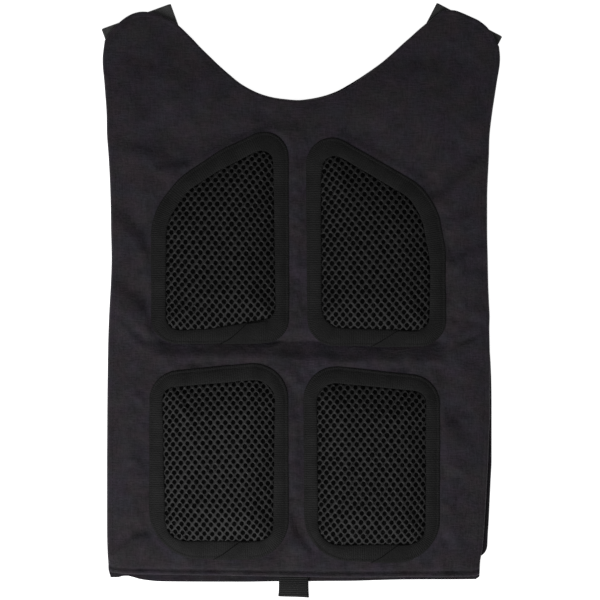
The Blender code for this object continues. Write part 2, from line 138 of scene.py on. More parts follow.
# %% Layers and outlines
CLOTH = 0.0016
GAP = 0.0003
UNDER_LAYER = 0.0030
EDGE_LIFT = UNDER_LAYER + 1.5 * GAP
SEAM_TOP = EDGE_LIFT + 2 * CLOTH + GAP
CREST = EDGE_LIFT + 2 * CLOTH + 0.0085
PAD_BASE = CREST + GAP
SEAM_LIP = 0.0052

SIDES = {
    "y": (
        -0.2373, -0.2317, -0.2235, -0.2190, -0.2150, -0.2037, -0.1890, -0.1717, -0.1545, -0.1372, -0.1200,
        -0.0984, -0.0480, -0.0360, -0.0230, -0.0130, -0.0020, 0.0120, 0.0354, 0.0613, 0.0872, 0.1260,
        0.1433, 0.1605, 0.1864, 0.2097, 0.2244,
    ),
    "left": (
        -0.1650, -0.1666, -0.1670, -0.1674, -0.1676, -0.1679, -0.1680, -0.1680, -0.1680, -0.1680, -0.1679,
        -0.1678, -0.1672, -0.1670, -0.1666, -0.1662, -0.1656, -0.1648, -0.1640, -0.1645, -0.1649, -0.1667,
        -0.1680, -0.1683, -0.1701, -0.1717, -0.1700,
    ),
    "right": (
        0.1529, 0.1531, 0.1535, 0.1543, 0.1552, 0.1563, 0.1574, 0.1585, 0.1594, 0.1603, 0.1609, 0.1618,
        0.1618, 0.1616, 0.1614, 0.1616, 0.1611, 0.1605, 0.1600, 0.1595, 0.1595, 0.1610, 0.1616, 0.1636,
        0.1675, 0.1706, 0.1690,
    ),
}
TOP = {
    "x": (
        -0.1700, -0.1640, -0.1579, -0.1484, -0.1398, -0.1295, -0.1200, -0.1087, -0.0967, -0.0880, -0.0794,
        -0.0708, -0.0621, -0.0535, -0.0449, -0.0362, -0.0276, -0.0132, -0.0009, 0.0095, 0.0242, 0.0328,
        0.0414, 0.0501, 0.0587, 0.0673, 0.0759, 0.0846, 0.0932, 0.1018, 0.1105, 0.1160, 0.1225, 0.1303,
        0.1370, 0.1450, 0.1536, 0.1605, 0.1657, 0.1690,
    ),
    "y": (
        0.2244, 0.2330, 0.2395, 0.2464, 0.2491, 0.2485, 0.2451, 0.2391, 0.2281, 0.2192, 0.2111, 0.2028,
        0.1950, 0.1879, 0.1827, 0.1787, 0.1760, 0.1737, 0.1730, 0.1741, 0.1776, 0.1811, 0.1861, 0.1917,
        0.1980, 0.2045, 0.2119, 0.2196, 0.2270, 0.2347, 0.2418, 0.2462, 0.2505, 0.2506, 0.2486, 0.2451,
        0.2408, 0.2347, 0.2270, 0.2192,
    ),
}
BODY_HEM = {
    "x": (-0.1664, -0.1640, -0.1571, -0.1484, -0.1225, -0.0700, -0.0233, 0.0242, 0.0846, 0.1490, 0.1527),
    "y": (-0.2315, -0.2331, -0.2340, -0.2344, -0.2350, -0.2355, -0.2363, -0.2372, -0.2370, -0.2366, -0.2350),
}
FACE_HEM = {
    "x": (
        -0.1650, -0.1571, -0.1519, -0.1467, -0.1415, -0.1312, -0.1182, -0.0276, 0.0414, 0.0846, 0.1490,
        0.1528,
    ),
    "y": (
        -0.2380, -0.2378, -0.2364, -0.2374, -0.2390, -0.2407, -0.2415, -0.2418, -0.2411, -0.2399, -0.2396,
        -0.2375,
    ),
}


def smooth(share):
    """Eased step from 0 to 1."""
    share = np.clip(share, 0.0, 1.0)
    return share * share * (3.0 - 2.0 * share)


def along(table, key, value, at):
    """Smooth curve through a table's rows that doesn't overshoot."""
    knots = np.array(table[key])
    values = np.array(table[value])
    steps = np.abs(np.diff(values) / np.diff(knots))
    limits = 3.0 * np.minimum(np.append(steps, steps[-1]), np.insert(steps, 0, steps[0]))
    slopes = np.clip(np.gradient(values, knots), -limits, limits)
    at = np.clip(at, knots[0], knots[-1])
    row = np.clip(np.searchsorted(knots, at, side="right") - 1, 0, len(knots) - 2)
    width = knots[row + 1] - knots[row]
    t = (at - knots[row]) / width
    rise = (2 * t**3 - 3 * t**2 + 1) * values[row] + (3 * t**2 - 2 * t**3) * values[row + 1]
    lean = (t**3 - 2 * t**2 + t) * slopes[row] + (t**3 - t**2) * slopes[row + 1]
    return rise + lean * width


print("panel", round(SIDES["right"][0] - SIDES["left"][0], 3), "m wide at the hem")

# %% Distances to seams, and soft noise
def seam_path(spacing=0.0012):
    """Points along the closed seam: up the left side, over the shoulders and neck, down the right side."""
    up = np.arange(SIDES["y"][0], TOP["y"][0], spacing)
    over = np.arange(TOP["x"][0], TOP["x"][-1], spacing)
    down = np.arange(TOP["y"][-1], SIDES["y"][0], -spacing)
    left = np.stack((along(SIDES, "y", "left", up), up), axis=1)
    top = np.stack((over, along(TOP, "x", "y", over)), axis=1)
    right = np.stack((along(SIDES, "y", "right", down), down), axis=1)
    return np.concatenate((left, top, right))


def distance_to(path, x, y):
    """Shortest distance from each point to a path of short straight pieces."""
    starts, pieces = path[:-1], np.diff(path, axis=0)
    lengths = np.maximum((pieces**2).sum(axis=1), 1e-12)
    points = np.stack((x, y), axis=1)
    nearest = []
    for chunk in np.array_split(points, max(1, len(points) // 3000)):
        offsets = chunk[:, None, :] - starts[None, :, :]
        share = np.clip((offsets * pieces).sum(axis=2) / lengths, 0.0, 1.0)
        nearest.append(np.linalg.norm(offsets - share[..., None] * pieces, axis=2).min(axis=1))
    return np.concatenate(nearest)


def soft_noise(x, y, size, seed):
    """Smooth random hills of about the size given, from -1 to 1, the same on every run."""
    heights = np.random.RandomState(seed).uniform(-1.0, 1.0, (64, 64))
    u, v = x / size + 7.3, y / size + 11.9
    i, j = np.floor(u).astype(int), np.floor(v).astype(int)
    s, t = smooth(u - i), smooth(v - j)
    low = heights[i % 64, j % 64] * (1 - s) + heights[(i + 1) % 64, j % 64] * s
    high = heights[i % 64, (j + 1) % 64] * (1 - s) + heights[(i + 1) % 64, (j + 1) % 64] * s
    return low * (1 - t) + high * t


SEAM_PATH = seam_path()
seam_length = np.linalg.norm(np.diff(SEAM_PATH, axis=0), axis=1).sum()
print("closed seam", round(float(seam_length), 3), "m")

# %% [markdown]
# ## Outlines of the four pads
#
# Each pad is bound round with tape that was laid by hand, so no two are alike. Two polygons with round
# corners describe one: the tape's outer edge, and the opening inside the tape where the mesh shows. A path
# moved inwards keeps its corners' centres, so one function gives an edge, its stitch line and the mesh's
# own border.

# %% Pad outlines
PADS = (
    {
        "name": "upper_left", "x": -0.0703, "y": 0.0538, "turn": -1.5, "side": 1, "seed": 11,
        "tape": (
            {"x": -0.1295, "y": -0.0374, "radius": 0.0233},
            {"x": -0.0110, "y": -0.0354, "radius": 0.0207},
            {"x": -0.0119, "y": 0.1568, "radius": 0.0207},
            {"x": -0.0701, "y": 0.1290, "radius": 0.0777},
            {"x": -0.1055, "y": 0.1054, "radius": 0.0600},
            {"x": -0.1295, "y": 0.0748, "radius": 0.0560},
        ),
        "opening": (
            {"x": -0.1167, "y": -0.0246, "radius": 0.0112},
            {"x": -0.0811, "y": -0.0240, "radius": 0.0518},
            {"x": -0.0224, "y": -0.0138, "radius": 0.0104},
            {"x": -0.0249, "y": 0.1351, "radius": 0.0104},
            {"x": -0.0708, "y": 0.1122, "radius": 0.0777},
            {"x": -0.0980, "y": 0.0946, "radius": 0.0302},
            {"x": -0.1161, "y": 0.0680, "radius": 0.0345},
        ),
    },
    {
        "name": "upper_right", "x": 0.0634, "y": 0.0504, "turn": 3.0, "side": -1, "seed": 12,
        "tape": (
            {"x": 0.0047, "y": -0.0383, "radius": 0.0233},
            {"x": 0.1232, "y": -0.0390, "radius": 0.0224},
            {"x": 0.1232, "y": 0.0420, "radius": 0.0863},
            {"x": 0.1169, "y": 0.0775, "radius": 0.0518},
            {"x": 0.1027, "y": 0.0988, "radius": 0.0480},
            {"x": 0.0033, "y": 0.1563, "radius": 0.0224},
        ),
        "opening": (
            {"x": 0.0171, "y": -0.0224, "radius": 0.0180},
            {"x": 0.1096, "y": -0.0255, "radius": 0.0121},
            {"x": 0.1096, "y": 0.0356, "radius": 0.0777},
            {"x": 0.1030, "y": 0.0699, "radius": 0.0518},
            {"x": 0.0918, "y": 0.0888, "radius": 0.0302},
            {"x": 0.0196, "y": 0.1307, "radius": 0.0104},
            {"x": 0.0163, "y": 0.1050, "radius": 0.0518},
        ),
    },
    {
        "name": "lower_left", "x": -0.0714, "y": -0.1373, "turn": 2.0, "side": 1, "seed": 13,
        "tape": (
            {"x": -0.1312, "y": -0.2211, "radius": 0.0432},
            {"x": -0.0116, "y": -0.2211, "radius": 0.0328},
            {"x": -0.0119, "y": -0.0502, "radius": 0.0311},
            {"x": -0.1308, "y": -0.0621, "radius": 0.0259},
        ),
        "opening": (
            {"x": -0.1170, "y": -0.2056, "radius": 0.0180},
            {"x": -0.0248, "y": -0.2056, "radius": 0.0140},
            {"x": -0.0230, "y": -0.0664, "radius": 0.0173},
            {"x": -0.1198, "y": -0.0744, "radius": 0.0104},
        ),
    },
    {
        "name": "lower_right", "x": 0.0597, "y": -0.1398, "turn": -1.5, "side": -1, "seed": 14,
        "tape": (
            {"x": 0.0022, "y": -0.2235, "radius": 0.0397},
            {"x": 0.1181, "y": -0.2235, "radius": 0.0362},
            {"x": 0.1182, "y": -0.0658, "radius": 0.0259},
            {"x": 0.0009, "y": -0.0525, "radius": 0.0293},
        ),
        "opening": (
            {"x": 0.0141, "y": -0.2090, "radius": 0.0180},
            {"x": 0.1057, "y": -0.2084, "radius": 0.0150},
            {"x": 0.1065, "y": -0.0781, "radius": 0.0104},
            {"x": 0.0128, "y": -0.0690, "radius": 0.0155},
        ),
    },
)


def corner_arcs(corners):
    """Centre, radius, start angle and sweep of each round corner."""
    spots = [np.array((corner["x"], corner["y"])) for corner in corners]
    arcs = []
    for index, corner in enumerate(corners):
        back = spots[index - 1] - spots[index]
        ahead = spots[(index + 1) % len(spots)] - spots[index]
        back /= np.linalg.norm(back)
        ahead /= np.linalg.norm(ahead)
        half = math.acos(float(back @ ahead)) / 2
        middle = (back + ahead) / np.linalg.norm(back + ahead)
        centre = spots[index] + middle * corner["radius"] / math.sin(half)
        sweep = math.pi - 2 * half
        arcs.append((centre, corner["radius"], math.atan2(-middle[1], -middle[0]) - sweep / 2, sweep))
    return arcs


ARC_STEPS = 4


def border(pad, edge, inset, spacing):
    """Points round a pad's tape or opening, moved in from that edge, with the inward direction at each."""
    arcs = corner_arcs(pad[edge])
    points, inward = [], []
    for index, (centre, radius, start, sweep) in enumerate(arcs):
        steps = max(ARC_STEPS, round(sweep * radius / spacing))
        for angle in np.linspace(start, start + sweep, steps, endpoint=False):
            way = np.array((math.cos(angle), math.sin(angle)))
            points.append(centre + way * (radius - inset))
            inward.append(-way)
        way = np.array((math.cos(start + sweep), math.sin(start + sweep)))
        here = centre + way * (radius - inset)
        next_centre, next_radius = arcs[(index + 1) % len(arcs)][:2]
        there = next_centre + way * (next_radius - inset)
        steps = max(1, round(np.linalg.norm(there - here) / spacing))
        for share in np.linspace(0.0, 1.0, steps, endpoint=False):
            points.append(here + (there - here) * share)
            inward.append(-way)
    return np.array(points), np.array(inward)


def depth_in(pad, edge, x, y):
    """Distance in from one edge of a pad, negative outside it."""
    path, _ = border(pad, edge, 0.0, 0.0015)
    path = np.concatenate((path, path[:1]))
    away = distance_to(path, x, y)
    arms = path - np.array((pad["x"], pad["y"]))
    turns_and_reaches = sorted(zip(np.arctan2(arms[:, 1], arms[:, 0]), np.hypot(arms[:, 0], arms[:, 1])))
    turns, reaches = np.array(turns_and_reaches).T
    reach = np.interp(np.arctan2(y - pad["y"], x - pad["x"]), turns, reaches, period=math.tau)
    inside = np.hypot(x - pad["x"], y - pad["y"]) < reach
    return np.where(inside, away, -away)


for pad in PADS:
    outer_edge, _ = border(pad, "tape", 0.0, 0.002)
    around = np.linalg.norm(np.diff(outer_edge, axis=0), axis=1).sum()
    print(pad["name"], "tape", round(float(around), 3), "m round")

# %% [markdown]
# ## Materials
#
# Everything here is black, so what tells one piece from another is its surface: plain-woven cloth with a
# faint purple cast, ribbed tape, glossy knitted mesh, webbing, and the two faces of hook-and-loop. Each
# weave is made from wave and noise textures in real units, read from the piece's own place, so it needs no
# picture and no unwrapping. Cloth sends back very little light straight on and a little more at a slant,
# which is its sheen. Each pad's mesh and tape has a shade of its own, and other shades at its ends, as the
# photograph shows them. That stands in for how the real pads and tape lean towards the light, and isn't a
# change of material.

# %% Helpers for materials
WAVE_UNIT = math.tau / 20.0
# Bands at a pad's bottom and top over which its painted end shade changes.
PAINTED_BOTTOM_BAND = (0.012, 0.038)
PAINTED_TOP_BAND = (-0.034, -0.014)


class Finish:
    """A material under construction: its nodes, links and shader."""

    def __init__(self, name):
        self.material = bpy.data.materials.new(name)
        self.material.use_nodes = True
        self.nodes = self.material.node_tree.nodes
        self.links = self.material.node_tree.links
        self.shader = self.nodes["Principled BSDF"]
        places = self.nodes.new("ShaderNodeTexCoord").outputs
        self.place, self.unrolled = places["Object"], places["UV"]

    def set(self, **values):
        """Sets plain numbers and colours on the shader's own sockets."""
        for key, value in values.items():
            self.shader.inputs[key.replace("_", " ")].default_value = value

    def add(self, kind, settings=None, **sockets):
        """New node; sockets holds numbers or other nodes' outputs by input name."""
        node = self.nodes.new(kind)
        for key, value in (settings or {}).items():
            setattr(node, key, value)
        for key, value in sockets.items():
            target = node.inputs[int(key[1:])] if key[0] == "i" and key[1:].isdigit() else node.inputs[key]
            if isinstance(value, bpy.types.NodeSocket):
                self.links.new(value, target)
            else:
                target.default_value = value
        return node

    def noise(self, size, detail=2.0, place=None):
        """Noise from 0 to 1 whose grains are about the size given."""
        node = self.add("ShaderNodeTexNoise", Vector=place or self.place, Scale=1.0 / size, Detail=detail)
        return node.outputs["Fac"]

    def streaks(self, wide, tall, detail=2.0):
        """Noise whose grains are longer one way than the other, as yarns are."""
        stretch = (1.0 / wide, 1.0 / tall, 1.0 / min(wide, tall))
        placed = self.add("ShaderNodeVectorMath", {"operation": "MULTIPLY"}, i0=self.place, i1=stretch)
        return self.noise(1.0, detail, placed.outputs[0])

    def wave(self, period, direction, wobble=0.0, place=None):
        """Ridges across one axis, from 0 to 1, one every period."""
        settings = {"bands_direction": direction, "wave_profile": "SIN"}
        node = self.add("ShaderNodeTexWave", settings, Vector=place or self.place, Scale=WAVE_UNIT / period)
        node.inputs["Distortion"].default_value = wobble
        node.inputs["Detail Scale"].default_value = 0.4
        return node.outputs["Fac"]

    def math(self, operation, first, second):
        """One sum of two values or outputs."""
        return self.add("ShaderNodeMath", {"operation": operation}, i0=first, i1=second).outputs[0]

    def blend(self, *parts):
        """Weighted sum of outputs, given as pairs of weight and output."""
        total = self.math("MULTIPLY", parts[0][1], parts[0][0])
        for weight, output in parts[1:]:
            total = self.math("ADD", total, self.math("MULTIPLY", output, weight))
        return total

    def span(self, fac, low, high, out_low, out_high):
        """Maps one range of numbers to another."""
        node = self.add("ShaderNodeMapRange", Value=fac)
        for key, value in (("From Min", low), ("From Max", high), ("To Min", out_low), ("To Max", out_high)):
            node.inputs[key].default_value = value
        return node.outputs["Result"]

    def mix(self, fac, low, high, blend_type="MIX"):
        """Mixes two colours by a number."""
        node = self.add("ShaderNodeMix", {"data_type": "RGBA", "blend_type": blend_type})
        for socket, value in ((0, fac), (6, low), (7, high)):
            if isinstance(value, bpy.types.NodeSocket):
                self.links.new(value, node.inputs[socket])
            else:
                node.inputs[socket].default_value = value if socket == 0 else (*value, 1.0)
        return node.outputs[2]

    def colours(self, fac, low, high, tint=None):
        """Mixes two colours by a number, tints them, and links the result to the base colour."""
        mixed = self.mix(fac, low, high)
        if tint:
            mixed = self.mix(1.0, mixed, tint, "MULTIPLY")
        self.links.new(mixed, self.shader.inputs["Base Color"])

    def bump(self, height, distance, strength=1.0):
        """Raises and lowers the surface by a height map, distance metres deep."""
        node = self.add("ShaderNodeBump", Height=height, Distance=distance, Strength=strength)
        self.links.new(node.outputs["Normal"], self.shader.inputs["Normal"])
        return node

    def painted_end_shades(self, pad, low, high):
        """Painted shade of 1 in a pad's middle, going over to the numbers given at its bottom and its top
        end.
        """
        levels = [corner["y"] for corner in pad["tape"]]
        up = self.add("ShaderNodeSeparateXYZ", Vector=self.place).outputs["Y"]
        starts, ends = (min(levels) + away for away in PAINTED_BOTTOM_BAND)
        bottom = self.span(up, starts, ends, low, 1.0)
        starts, ends = (max(levels) + away for away in PAINTED_TOP_BAND)
        top = self.span(up, starts, ends, 1.0, high)
        return self.math("MULTIPLY", bottom, top)

    def roughness(self, fac, low, high):
        """Links a varying roughness."""
        self.links.new(self.span(fac, 0.0, 1.0, low, high), self.shader.inputs["Roughness"])


def grey(value):
    """Neutral colour of one strength."""
    return value, value, value


print("ready to mix materials")

# %% Carrier cloth
YARN = 0.00062
CLOTH_DARK = (0.0018, 0.0016, 0.0020)
CLOTH_LIGHT = (0.0277, 0.0243, 0.0299)
PINK_CAST, GREEN_CAST = (1.08, 0.95, 1.01), (0.95, 1.02, 0.98)
AMBER_CAST, BLUE_CAST = (1.02, 1.01, 0.94), (0.98, 0.99, 1.10)


def carrier_cloth(name, shade=1.0):
    """Plain-woven black poly-cotton with a faint purple cast, uneven yarns and lighter and darker patches."""
    finish = Finish(name)
    weave = finish.math("MULTIPLY", finish.wave(YARN, "X", 0.6), finish.wave(YARN, "Y", 0.6))
    lengthways = finish.span(finish.streaks(0.0012, 0.0070), 0.30, 0.70, 0.0, 1.0)
    crossways = finish.span(finish.streaks(0.0070, 0.0012), 0.30, 0.70, 0.0, 1.0)
    slub = finish.span(finish.noise(0.0018, 3.0), 0.25, 0.75, 0.0, 1.0)
    patches = finish.span(finish.noise(0.016, 4.0), 0.32, 0.68, 0.0, 1.0)
    mixed = finish.blend((0.16, weave), (0.22, lengthways), (0.22, crossways), (0.26, slub), (0.20, patches))
    dark = tuple(shade * value for value in CLOTH_DARK)
    light = tuple(shade * value for value in CLOTH_LIGHT)
    warm = finish.span(finish.noise(0.0140, 3.0), 0.40, 0.60, 0.0, 1.0)
    blue = finish.span(finish.streaks(0.0230, 0.0200, 3.0), 0.40, 0.60, 0.0, 1.0)
    pink_or_green = finish.mix(warm, GREEN_CAST, PINK_CAST)
    blue_or_amber = finish.mix(blue, AMBER_CAST, BLUE_CAST)
    casts = finish.mix(1.0, pink_or_green, blue_or_amber, "MULTIPLY")
    finish.colours(mixed, dark, light, casts)
    finish.set(Specular_IOR_Level=0.12, Sheen_Weight=0.04, Sheen_Roughness=0.55)
    finish.set(Sheen_Tint=(0.80, 0.72, 0.85, 1.0))
    finish.roughness(slub, 0.74, 0.94)
    finish.bump(finish.blend((0.35, weave), (0.9, lengthways), (0.9, crossways), (1.0, slub)), 0.00018, 0.9)
    return finish.material


CLOTH_FINISH = carrier_cloth("carrier cloth")
FACE_FINISH = carrier_cloth("outer cloth", 0.92)
# Painted shade: the wing cloth is the carrier cloth painted darker, as it lies in shade beside the body
# side's edge.
WING_FINISH_PAINTED_DARKER = carrier_cloth("wing cloth", 0.88)
print(CLOTH_FINISH.name, "yarn", YARN * 1000, "mm")

# %% Mesh, tape, webbing and thread
RIB = 0.00190
TAB_RIB = 0.00165
MESH_DARK, MESH_LIGHT = 0.0050, 0.0270
# The pad's inside is black pile, painted darker still with the shade that lies deep in the holes.
DEPTHS_DARK, DEPTHS_LIGHT = 0.0002, 0.006
TAPE_DARK, TAPE_LIGHT = 0.0006, 0.0122
LOOP_DARK, LOOP_LIGHT = 0.013, 0.052
PAINTED_RIB_CONTRAST = 0.34
TAPE_LEVEL = 0.065


def knitted_mesh(pad, shade, low, high):
    """Black polyester yarn with a slight shine, knitted into open mesh, in its pad's painted shade and
    painted ends.
    """
    finish = Finish("knitted mesh " + pad["name"])
    twist = finish.wave(0.0007, "DIAGONAL", 2.0)
    grain = finish.noise(0.0006, 3.0)
    patches = finish.noise(0.012, 3.0)
    mixed = finish.blend((0.30, twist), (0.45, grain), (0.25, patches))
    ends = finish.painted_end_shades(pad, low, high)
    finish.colours(mixed, grey(MESH_DARK * shade), grey(MESH_LIGHT * shade), ends)
    finish.set(Specular_IOR_Level=0.18, Sheen_Weight=0.02, Sheen_Roughness=0.4)
    finish.roughness(grain, 0.44, 0.70)
    finish.bump(mixed, 0.00026, 0.9)
    return finish.material


def mesh_depths():
    """The dark inside of a pad, black pile with painted shade on top, with a few pile yarns that show through
    the open mesh.
    """
    finish = Finish("mesh depths")
    grain = finish.noise(0.0013, 3.0)
    yarns = finish.span(finish.streaks(0.0012, 0.0040), 0.52, 0.72, 0.0, 1.0)
    finish.colours(finish.math("MULTIPLY", yarns, grain), grey(DEPTHS_DARK), grey(DEPTHS_LIGHT))
    finish.set(Specular_IOR_Level=0.05, Roughness=0.95)
    finish.bump(grain, 0.0004, 0.6)
    return finish.material


def ribbed_tape(pad, shade, low, high):
    """Black ribbed tape: painted shade in the grooves and painted highlight on the ribs, read from the
    unrolled tape.
    """
    finish = Finish("ribbed tape " + pad["name"])
    ribs = finish.span(finish.wave(RIB, "X", 1.6, finish.unrolled), 0.15, 0.85, 0.0, 1.0)
    grain = finish.span(finish.noise(0.0012, 4.0), 0.28, 0.72, 0.0, 1.0)
    fleck = finish.noise(0.0026, 2.0)
    patches = finish.span(finish.noise(0.013, 3.0), 0.34, 0.66, 0.0, 1.0)
    # Painted light: ribs are painted lighter and grooves darker, more strongly in the patches where ribs
    # catch the lamp.
    catches = finish.span(finish.noise(0.022, 2.0), 0.38, 0.62, 0.15, 1.0)
    painted_rib_light = finish.math("MULTIPLY", finish.math("SUBTRACT", ribs, 0.5), catches)
    mixed = finish.math("ADD", finish.blend((0.40, grain), (0.17, fleck), (0.30, patches)), TAPE_LEVEL)
    mixed = finish.math("ADD", mixed, finish.math("MULTIPLY", painted_rib_light, PAINTED_RIB_CONTRAST))
    ends = finish.painted_end_shades(pad, low, high)
    finish.colours(mixed, grey(TAPE_DARK * shade), grey(TAPE_LIGHT * shade), ends)
    finish.set(Specular_IOR_Level=0.13, Sheen_Weight=0.02, Sheen_Roughness=0.5)
    finish.roughness(grain, 0.62, 0.85)
    finish.bump(finish.blend((0.4, ribs), (0.7, grain), (0.5, fleck)), 0.00036, 0.9)
    return finish.material


def tab_webbing():
    """Black nylon webbing, ribbed across."""
    finish = Finish("tab webbing")
    cord = finish.wave(TAB_RIB, "Y", 1.4)
    grain = finish.span(finish.noise(0.0009, 3.0), 0.28, 0.72, 0.0, 1.0)
    mixed = finish.blend((0.62, cord), (0.38, grain))
    finish.colours(mixed, (0.0002, 0.0002, 0.0002), (0.0054, 0.0054, 0.0056))
    finish.set(Specular_IOR_Level=0.15, Sheen_Weight=0.02)
    finish.roughness(grain, 0.50, 0.75)
    finish.bump(mixed, 0.00035, 0.9)
    return finish.material


def loop_pile(name, shade):
    """Soft loop side of hook-and-loop tape, in a painted shade for its strap."""
    finish = Finish(name)
    pile = finish.noise(0.0011, 6.0)
    tufts = finish.noise(0.004, 3.0)
    mixed = finish.blend((0.7, pile), (0.3, tufts))
    spread = finish.span(mixed, 0.25, 0.75, 0.0, 1.0)
    finish.colours(spread, grey(LOOP_DARK * shade), grey(LOOP_LIGHT * shade))
    finish.set(Specular_IOR_Level=0.10, Sheen_Weight=0.10, Sheen_Roughness=0.6, Roughness=0.95)
    finish.bump(mixed, 0.0006, 0.9)
    return finish.material


def sewing_thread():
    """Black polyester sewing thread."""
    finish = Finish("sewing thread")
    grain = finish.noise(0.0004, 2.0)
    finish.colours(grain, (0.0025, 0.0023, 0.0027), (0.0085, 0.0078, 0.0088))
    finish.set(Specular_IOR_Level=0.15, Roughness=0.6)
    finish.bump(grain, 0.00005, 0.6)
    return finish.material


# Painted shade: each pad's mesh and tape is painted lighter or darker as a whole, and again towards its
# bottom and top, for the way light falls on the leaning pads.
PAINTED_MESH_SHADES = {
    "upper_left": {"shade": 0.60, "low": 0.96, "high": 1.0},
    "upper_right": {"shade": 0.57, "low": 0.96, "high": 1.0},
    "lower_left": {"shade": 0.95, "low": 0.90, "high": 1.4},
    "lower_right": {"shade": 0.73, "low": 0.74, "high": 1.1},
}
PAINTED_TAPE_SHADES = {
    "upper_left": {"shade": 0.86, "low": 0.64, "high": 1.0},
    "upper_right": {"shade": 0.86, "low": 0.70, "high": 1.0},
    "lower_left": {"shade": 0.94, "low": 0.97, "high": 1.0},
    "lower_right": {"shade": 0.87, "low": 0.58, "high": 0.9},
}
MESH_FINISHES = {pad["name"]: knitted_mesh(pad, **PAINTED_MESH_SHADES[pad["name"]]) for pad in PADS}
DEPTHS_FINISH = mesh_depths()
TAPE_FINISHES = {pad["name"]: ribbed_tape(pad, **PAINTED_TAPE_SHADES[pad["name"]]) for pad in PADS}
WEBBING_FINISH = tab_webbing()
# Painted light: the left strap's loop pile is painted lighter and the right one's darker, for the way light
# falls on each.
LOOP_FINISHES = {"left": loop_pile("loop pile left", 1.12), "right": loop_pile("loop pile right", 0.80)}
THREAD_FINISH = sewing_thread()
print("materials:", len(bpy.data.materials))

# %% [markdown]
# ## The body-side wall
#
# A sewn panel is level where its pads hold it, dips between them, and turns down to its seams. Its height
# is one function of the place on it. That has the plain model's broad form, and adds what the plain model
# leaves out: the rounded turned edge, the sunk stitch line, puckers round the pads and the folds seen in
# the photograph. Two tables hold the folds, by the pixels that each starts and ends at. A crease is a
# groove, or a ridge where its height is positive. A fold is a soft step: the cloth is lower to the left of
# the way from its start to its end.

# %% Creases and folds of the body side
Crease = namedtuple("Crease", "name start end wide up")
Fold = namedtuple("Fold", "name start end wide drop")
CREASES = (
    Crease("centre ridge between upper pads", (297, 170), (297, 318), wide=0.0042, up=0.0008),
    Crease("fold over left chest", (160, 171), (184, 167), wide=0.0040, up=0.0017),
    Crease("left waist ridge", (115, 320), (143, 347), wide=0.0034, up=0.0014),
    Crease("left waist second ridge", (118, 303), (146, 332), wide=0.0030, up=0.0010),
    Crease("right waist crease", (460, 342), (489, 329), wide=0.0026, up=-0.0014),
    Crease("right waist dimple", (469, 321), (481, 325), wide=0.0036, up=-0.0016),
    Crease("pit where four pads meet", (288, 350), (306, 352), wide=0.0060, up=-0.0008),
    Crease("crossing pleat left of the centre", (277, 345), (292, 328), wide=0.0026, up=0.0014),
    Crease("lower middle bulge", (297, 385), (297, 500), wide=0.0060, up=0.0008),
    Crease("left hem corner hollow", (112, 570), (119, 573), wide=0.0016, up=-0.0014),
)
FOLDS = (
    Fold("left armhole fold", (112, 142), (152, 151), wide=0.0046, drop=0.0028),
    Fold("left armhole fold, inner end", (150, 153), (196, 150), wide=0.0070, drop=0.0013),
    Fold("slope over the left pad", (184, 168), (272, 131), wide=0.0085, drop=0.0070),
    Fold("slope over the right pad", (345, 137), (420, 178), wide=0.0050, drop=0.0026),
    Fold("left side slant", (125, 220), (160, 262), wide=0.0056, drop=0.0060),
    Fold("left side second slant", (116, 250), (140, 270), wide=0.0050, drop=0.0022),
    Fold("left waist slant", (122, 288), (160, 322), wide=0.0056, drop=0.0064),
    Fold("low left fold", (112, 552), (139, 534), wide=0.0030, drop=0.0040),
    Fold("low middle fold", (287, 518), (309, 549), wide=0.0026, drop=0.0030),
    Fold("right shoulder hollow", (432, 66), (470, 94), wide=0.0100, drop=0.0028),
    Fold("right shoulder inner hollow", (418, 84), (440, 118), wide=0.0080, drop=0.0018),
    Fold("left shoulder hollow", (130, 66), (190, 74), wide=0.0090, drop=0.0012),
    Fold("right armhole fold", (435, 199), (476, 161), wide=0.0040, drop=0.0044),
    Fold("right side fold", (444, 262), (480, 247), wide=0.0040, drop=0.0040),
    Fold("right seam fold", (468, 271), (487, 274), wide=0.0034, drop=0.0028),
    Fold("right low fold", (442, 414), (462, 434), wide=0.0056, drop=0.0034),
    Fold("right waist fold", (444, 352), (472, 338), wide=0.0044, drop=0.0018),
    Fold("step below the crossing", (310, 375), (284, 375), wide=0.0060, drop=0.0016),
    Fold("right side upper fold", (450, 222), (482, 208), wide=0.0040, drop=0.0018),
)


FOLD_END = 2.0
FOLD_FADE = 4.5


def crease_height(x, y):
    """Sum of the creases, ridges and folds."""
    total = np.zeros_like(x)
    for crease in CREASES:
        line = np.array((from_pixel(*crease.start), from_pixel(*crease.end)))
        away = distance_to(line, x, y) / crease.wide
        total += crease.up * np.exp(-away * away)
    for fold in FOLDS:
        start, end = np.array(from_pixel(*fold.start)), np.array(from_pixel(*fold.end))
        length = np.linalg.norm(end - start)
        way = (end - start) / length
        run = (x - start[0]) * way[0] + (y - start[1]) * way[1]
        aside = (y - start[1]) * way[0] - (x - start[0]) * way[1]
        past = np.maximum(np.maximum(-run, run - length), 0.0) / (FOLD_END * fold.wide)
        step = np.tanh(aside / fold.wide) * np.exp(-(aside / (FOLD_FADE * fold.wide)) ** 2 - past**2)
        total -= 0.5 * fold.drop * step
    return total


print("creases:", len(CREASES), "and folds:", len(FOLDS))

# %% [markdown]
# Under the upper pads the cloth is tucked in: it drops sharply at the tape's edge and comes back up in a
# soft bulge that ends above the lower pads. In the middle, where no pad covers it, it comes down from above
# as well.

# %% The tuck
TUCK = {
    "y": -0.0346, "depth": 0.0044, "left": -0.1330, "right": 0.1290, "ease": 0.016,
    "middle": -0.0045, "wide": 0.0115, "middle_depth": 1.15, "middle_more": 0.15,
    "fall": 0.0085, "rise_left": 0.0150, "rise_right": 0.0200, "rise_from": -0.020, "rise_ease": 0.060,
    "bulge": 0.0010, "bulge_wide": 0.0046, "bulge_place": 0.86, "right_more": 0.28, "uneven": 0.15,
}


